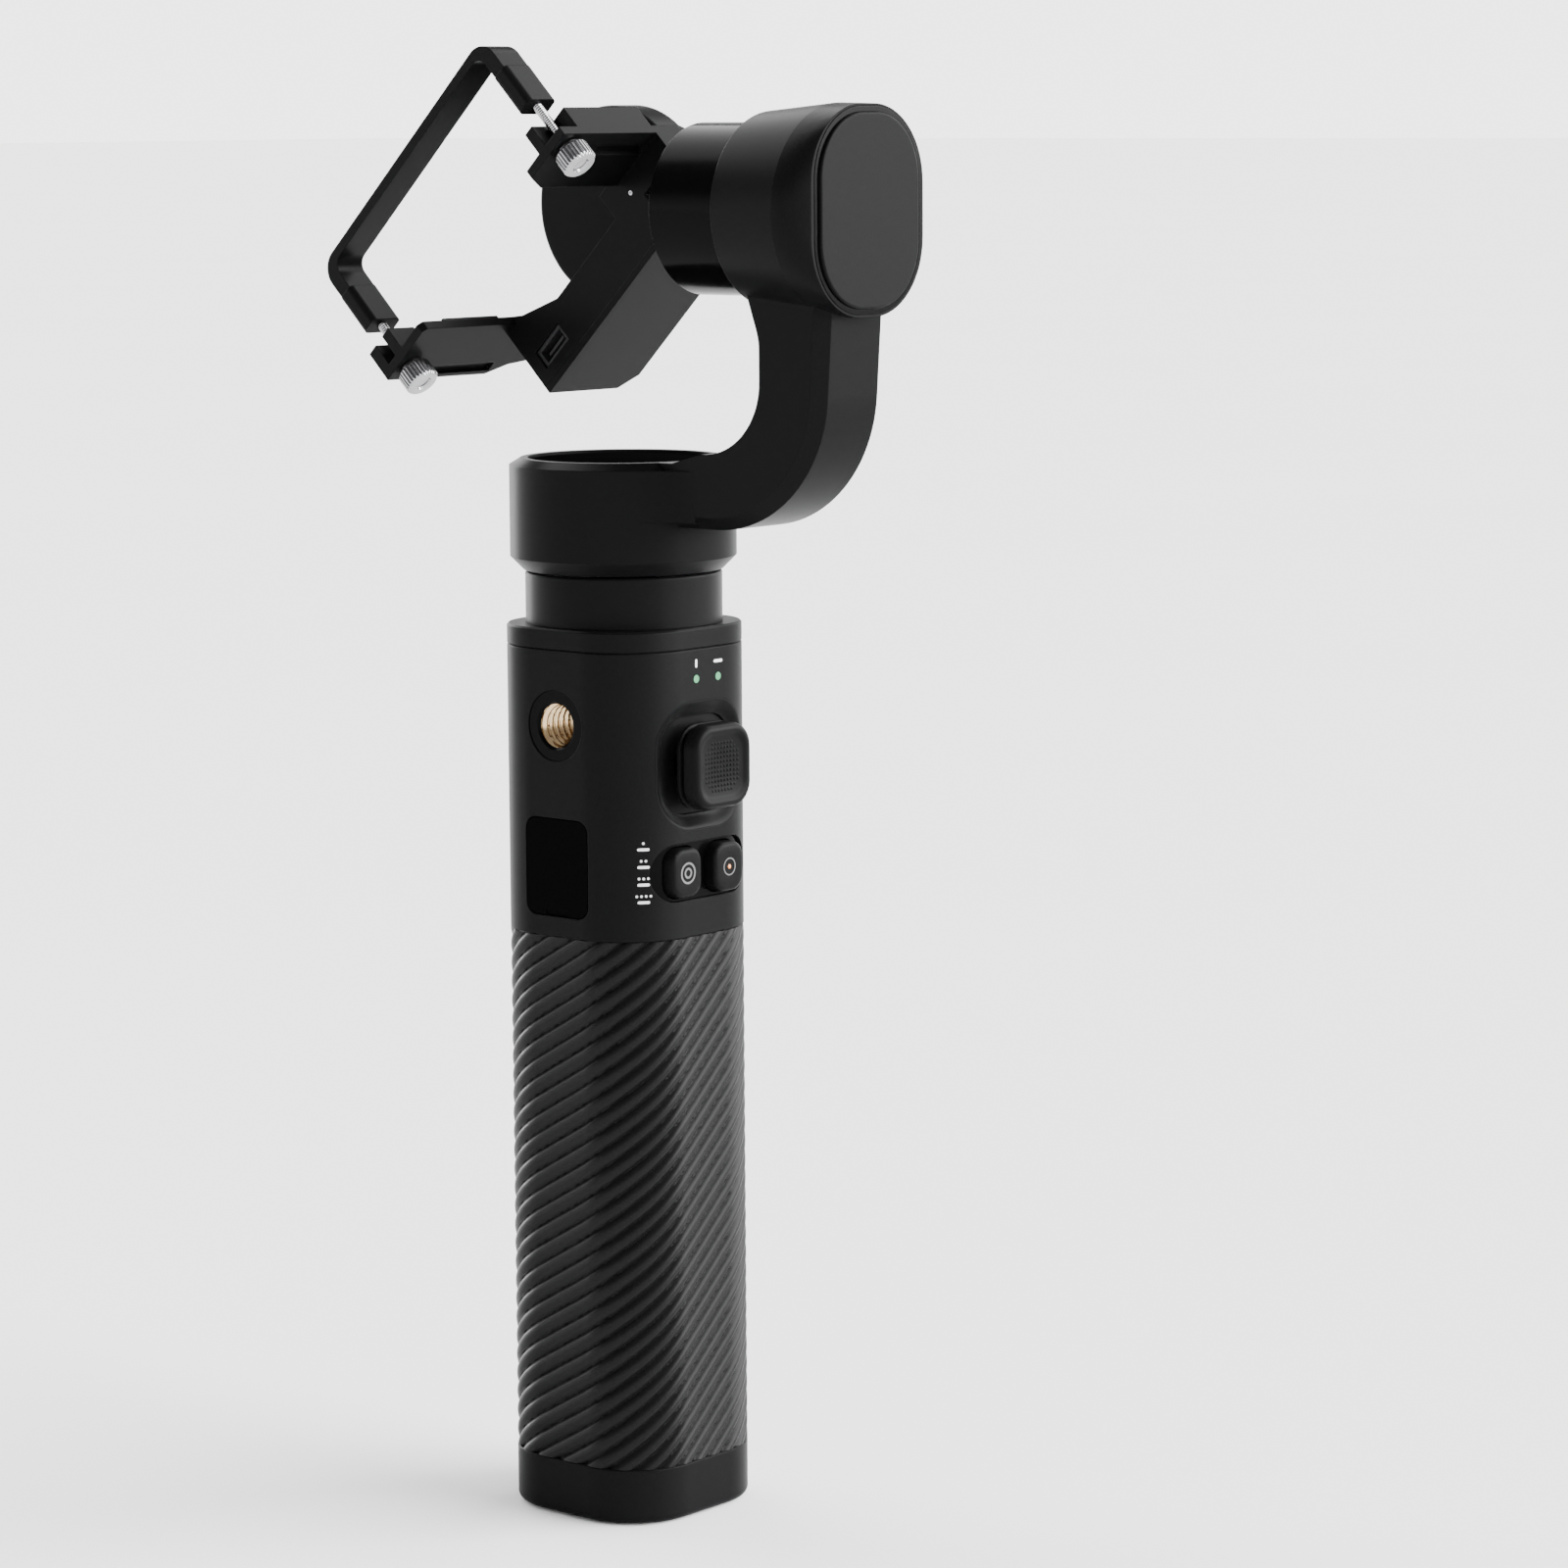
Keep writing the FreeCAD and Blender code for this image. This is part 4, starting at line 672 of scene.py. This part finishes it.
def make_windings(motor, body, place, stack):
    """Twelve coils wound round the stator's teeth. stack is the height of the stator's iron."""
    teeth, layers = 12, 4
    first_radius, layer_gap = 8.0, 0.75
    tooth_half, growth = 0.85, 0.16  # the teeth grow wider outwards, by so much a layer
    wire, stator_base = 0.34, 4.5
    shell = Shell()
    for tooth in range(teeth):
        turn = Matrix.Rotation(2 * math.pi * (tooth + 0.5) / teeth, 4, "Z")
        for layer in range(layers):
            r = first_radius + layer * layer_gap
            half_wide = tooth_half + growth * layer
            loops = []
            for px, pz in rounded_outline(half_wide + 0.32, stack / 2 + 0.55, 0.7, 3):
                length = math.hypot(px, pz)
                inward = Vector((-px / length, 0, -pz / length))
                centre = Vector((r, px, stator_base + stack / 2 + pz))
                loops.append([tuple(turn @ (centre + Vector((u, inward.x * v, inward.z * v))))
                              for u, v in circle(wire, 6)])
            shell.loops(loops, closed=True)
    shell.piece(f"{motor}_coils", MATERIALS["copper_windings"], "copper_windings", body, place)


def make_chips(name, body, place, wide, high, count):
    """Small parts on a board's face, at Z = 0 and up: chips with legs, then little blocks."""
    sizes = ((1.6, 1.6, 0.8), (1.0, 0.6, 0.5), (0.5, 0.3, 0.4))
    leg_pairs, leg_half, leg_reach, leg_tall = 5, 0.12, 0.35, 0.2
    shell = Shell()
    legs = Shell()
    for _ in range(count):
        x = random.uniform(-wide / 2, wide / 2)
        y = random.uniform(-high / 2, high / 2)
        hx, hy, tall = random.choice(sizes)
        shell.block((x - hx, y - hy, -0.05), (x + hx, y + hy, tall), 0.1)
        if (hx, hy, tall) != sizes[0]:
            continue
        for k in range(leg_pairs):
            leg_y = y - hy + 0.4 + k * (2 * hy - 0.8) / (leg_pairs - 1)
            legs.block((x - hx - leg_reach, leg_y - leg_half, -0.03),
                       (x + hx + leg_reach, leg_y + leg_half, leg_tall), 0.04)
    shell.piece(f"{name}_chips", MATERIALS["gloss_black"], "inner_plastic", body, place)
    if legs.vertices:
        legs.piece(f"{name}_legs", CONTACT_GOLD, "steel", body, place)


def make_insides():
    """Coils of the three motors, and the small parts on the two ends of the main board."""
    yaw = Matrix.Translation((0, 0, 190))
    roll = Matrix.Translation((0, -42.5, ROLL_Z)) @ TO_PLUS_Y
    tilt = Matrix.Translation((40.5, TILT_Y, ROLL_Z)) @ TO_MINUS_X
    make_windings("yaw", "handle", yaw, 7)
    make_windings("roll", "yaw_frame", roll, 7)
    make_windings("tilt", "roll_frame", tilt, 5)
    board_front = -8
    make_chips("main_board_top", "handle", Matrix.Translation((0, board_front, 172)) @ TO_PLUS_Y, 16, 4, 7)
    make_chips("main_board_low", "handle", Matrix.Translation((0, board_front, 135)) @ TO_PLUS_Y, 8, 12, 12)


# ---------------------------------------------------------------- studio

SKY_AT_HORIZON = 3.7
SKY_OVERHEAD = 0.5
KEY_STRENGTH = 16.0
FILL_STRENGTH = 4.0
RIM_POWER = 9


def make_floor():
    """Pale paper, a little below the handle's base."""
    mesh = bpy.data.meshes.new("floor")
    reach = 30.0
    corners = [(-reach, -reach, 0), (reach, -reach, 0), (reach, reach, 0), (-reach, reach, 0)]
    mesh.from_pydata(corners, [], [(0, 1, 2, 3)])
    mesh.materials.append(add_noise(new_material("floor_paper", (0.9, 0.9, 0.9), 0.9, specular=0.1), 2, 0.01))
    floor = bpy.data.objects.new("floor", mesh)
    floor.location.z = -0.0003
    bpy.context.scene.collection.objects.link(floor)


def aim(lamp, travel):
    """Turns a light so that its rays go along travel, and adds it to the scene."""
    lamp.rotation_euler = Vector(travel).to_track_quat("-Z", "Y").to_euler()
    bpy.context.scene.collection.objects.link(lamp)


def make_rim_light():
    """A tall light behind the object. It draws edges on the black parts and leaves the floor even."""
    light = bpy.data.lights.new("rim", "AREA")
    light.shape = "RECTANGLE"
    light.size, light.size_y = 0.35, 1.2
    light.energy = RIM_POWER
    lamp = bpy.data.objects.new("rim", light)
    lamp.location = (0.3, 1.3, 0.35)
    aim(lamp, Vector((0, 0, 0.16)) - lamp.location)
    lamp.visible_diffuse = False


def make_sky():
    """A white surround, brightest in a band at the horizon, so that it meets the floor without a step."""
    world = bpy.data.worlds.new("studio")
    bpy.context.scene.world = world
    world.use_nodes = True
    nodes, links = world.node_tree.nodes, world.node_tree.links
    coords = nodes.new("ShaderNodeTexCoord")
    split = nodes.new("ShaderNodeSeparateXYZ")
    height = nodes.new("ShaderNodeMapRange")
    height.inputs["From Min"].default_value = 0.06
    height.inputs["From Max"].default_value = 0.3
    height.inputs["To Min"].default_value = SKY_AT_HORIZON
    height.inputs["To Max"].default_value = SKY_OVERHEAD
    links.new(coords.outputs["Generated"], split.inputs["Vector"])
    links.new(split.outputs["Z"], height.inputs["Value"])
    links.new(height.outputs["Result"], nodes["Background"].inputs["Strength"])
    nodes["Background"].inputs["Color"].default_value = (1, 1, 1, 1)


def make_broad_light(name, travel, strength):
    """A very wide, soft light from far away; travel is the way its rays go."""
    light = bpy.data.lights.new(name, "SUN")
    light.energy = strength
    light.angle = math.radians(60)
    aim(bpy.data.objects.new(name, light), travel)


def make_studio():
    """Floor, sky, a key from the camera's right, two fills and the rim light."""
    make_floor()
    make_sky()
    make_broad_light("broad_key", (-0.55, 1, -0.38), KEY_STRENGTH)
    make_broad_light("back_fill", (-0.2, -1, -0.6), FILL_STRENGTH)
    make_broad_light("side_fill", (-1, 0.25, -0.6), FILL_STRENGTH)
    make_rim_light()


def make_camera():
    """The photograph's viewpoint, found by fitting the handle and the motors."""
    camera = bpy.data.cameras.new("camera")
    camera.lens = 112.5
    camera.sensor_width = 36
    camera.clip_start = 0.05
    camera.clip_end = 100
    viewer = bpy.data.objects.new("camera", camera)
    place = Vector((-732.58, -661.95, 285.37)) * MM
    forward = Vector((0.75612, 0.63979, -0.13767)).normalized()
    roll = math.radians(-0.35)
    right = forward.cross(Vector((0, 0, 1))).normalized()
    up = right.cross(forward)
    right_rolled = right * math.cos(roll) + up * math.sin(roll)
    up_rolled = up * math.cos(roll) - right * math.sin(roll)
    turn = Matrix((right_rolled, up_rolled, -forward)).transposed().to_4x4()
    viewer.matrix_world = Matrix.Translation(place) @ turn
    bpy.context.scene.collection.objects.link(viewer)
    bpy.context.scene.camera = viewer


finish_cad_nodes()
make_grip_sleeve()
make_inserts()
make_thumbscrew("thumbscrew_upper", "upper_screw", 1)
make_thumbscrew("thumbscrew_lower", "lower_screw", -1)
make_bracket_rivet()
make_dish()
make_joystick()
make_buttons()
make_prints()
make_insides()
make_studio()
make_camera()
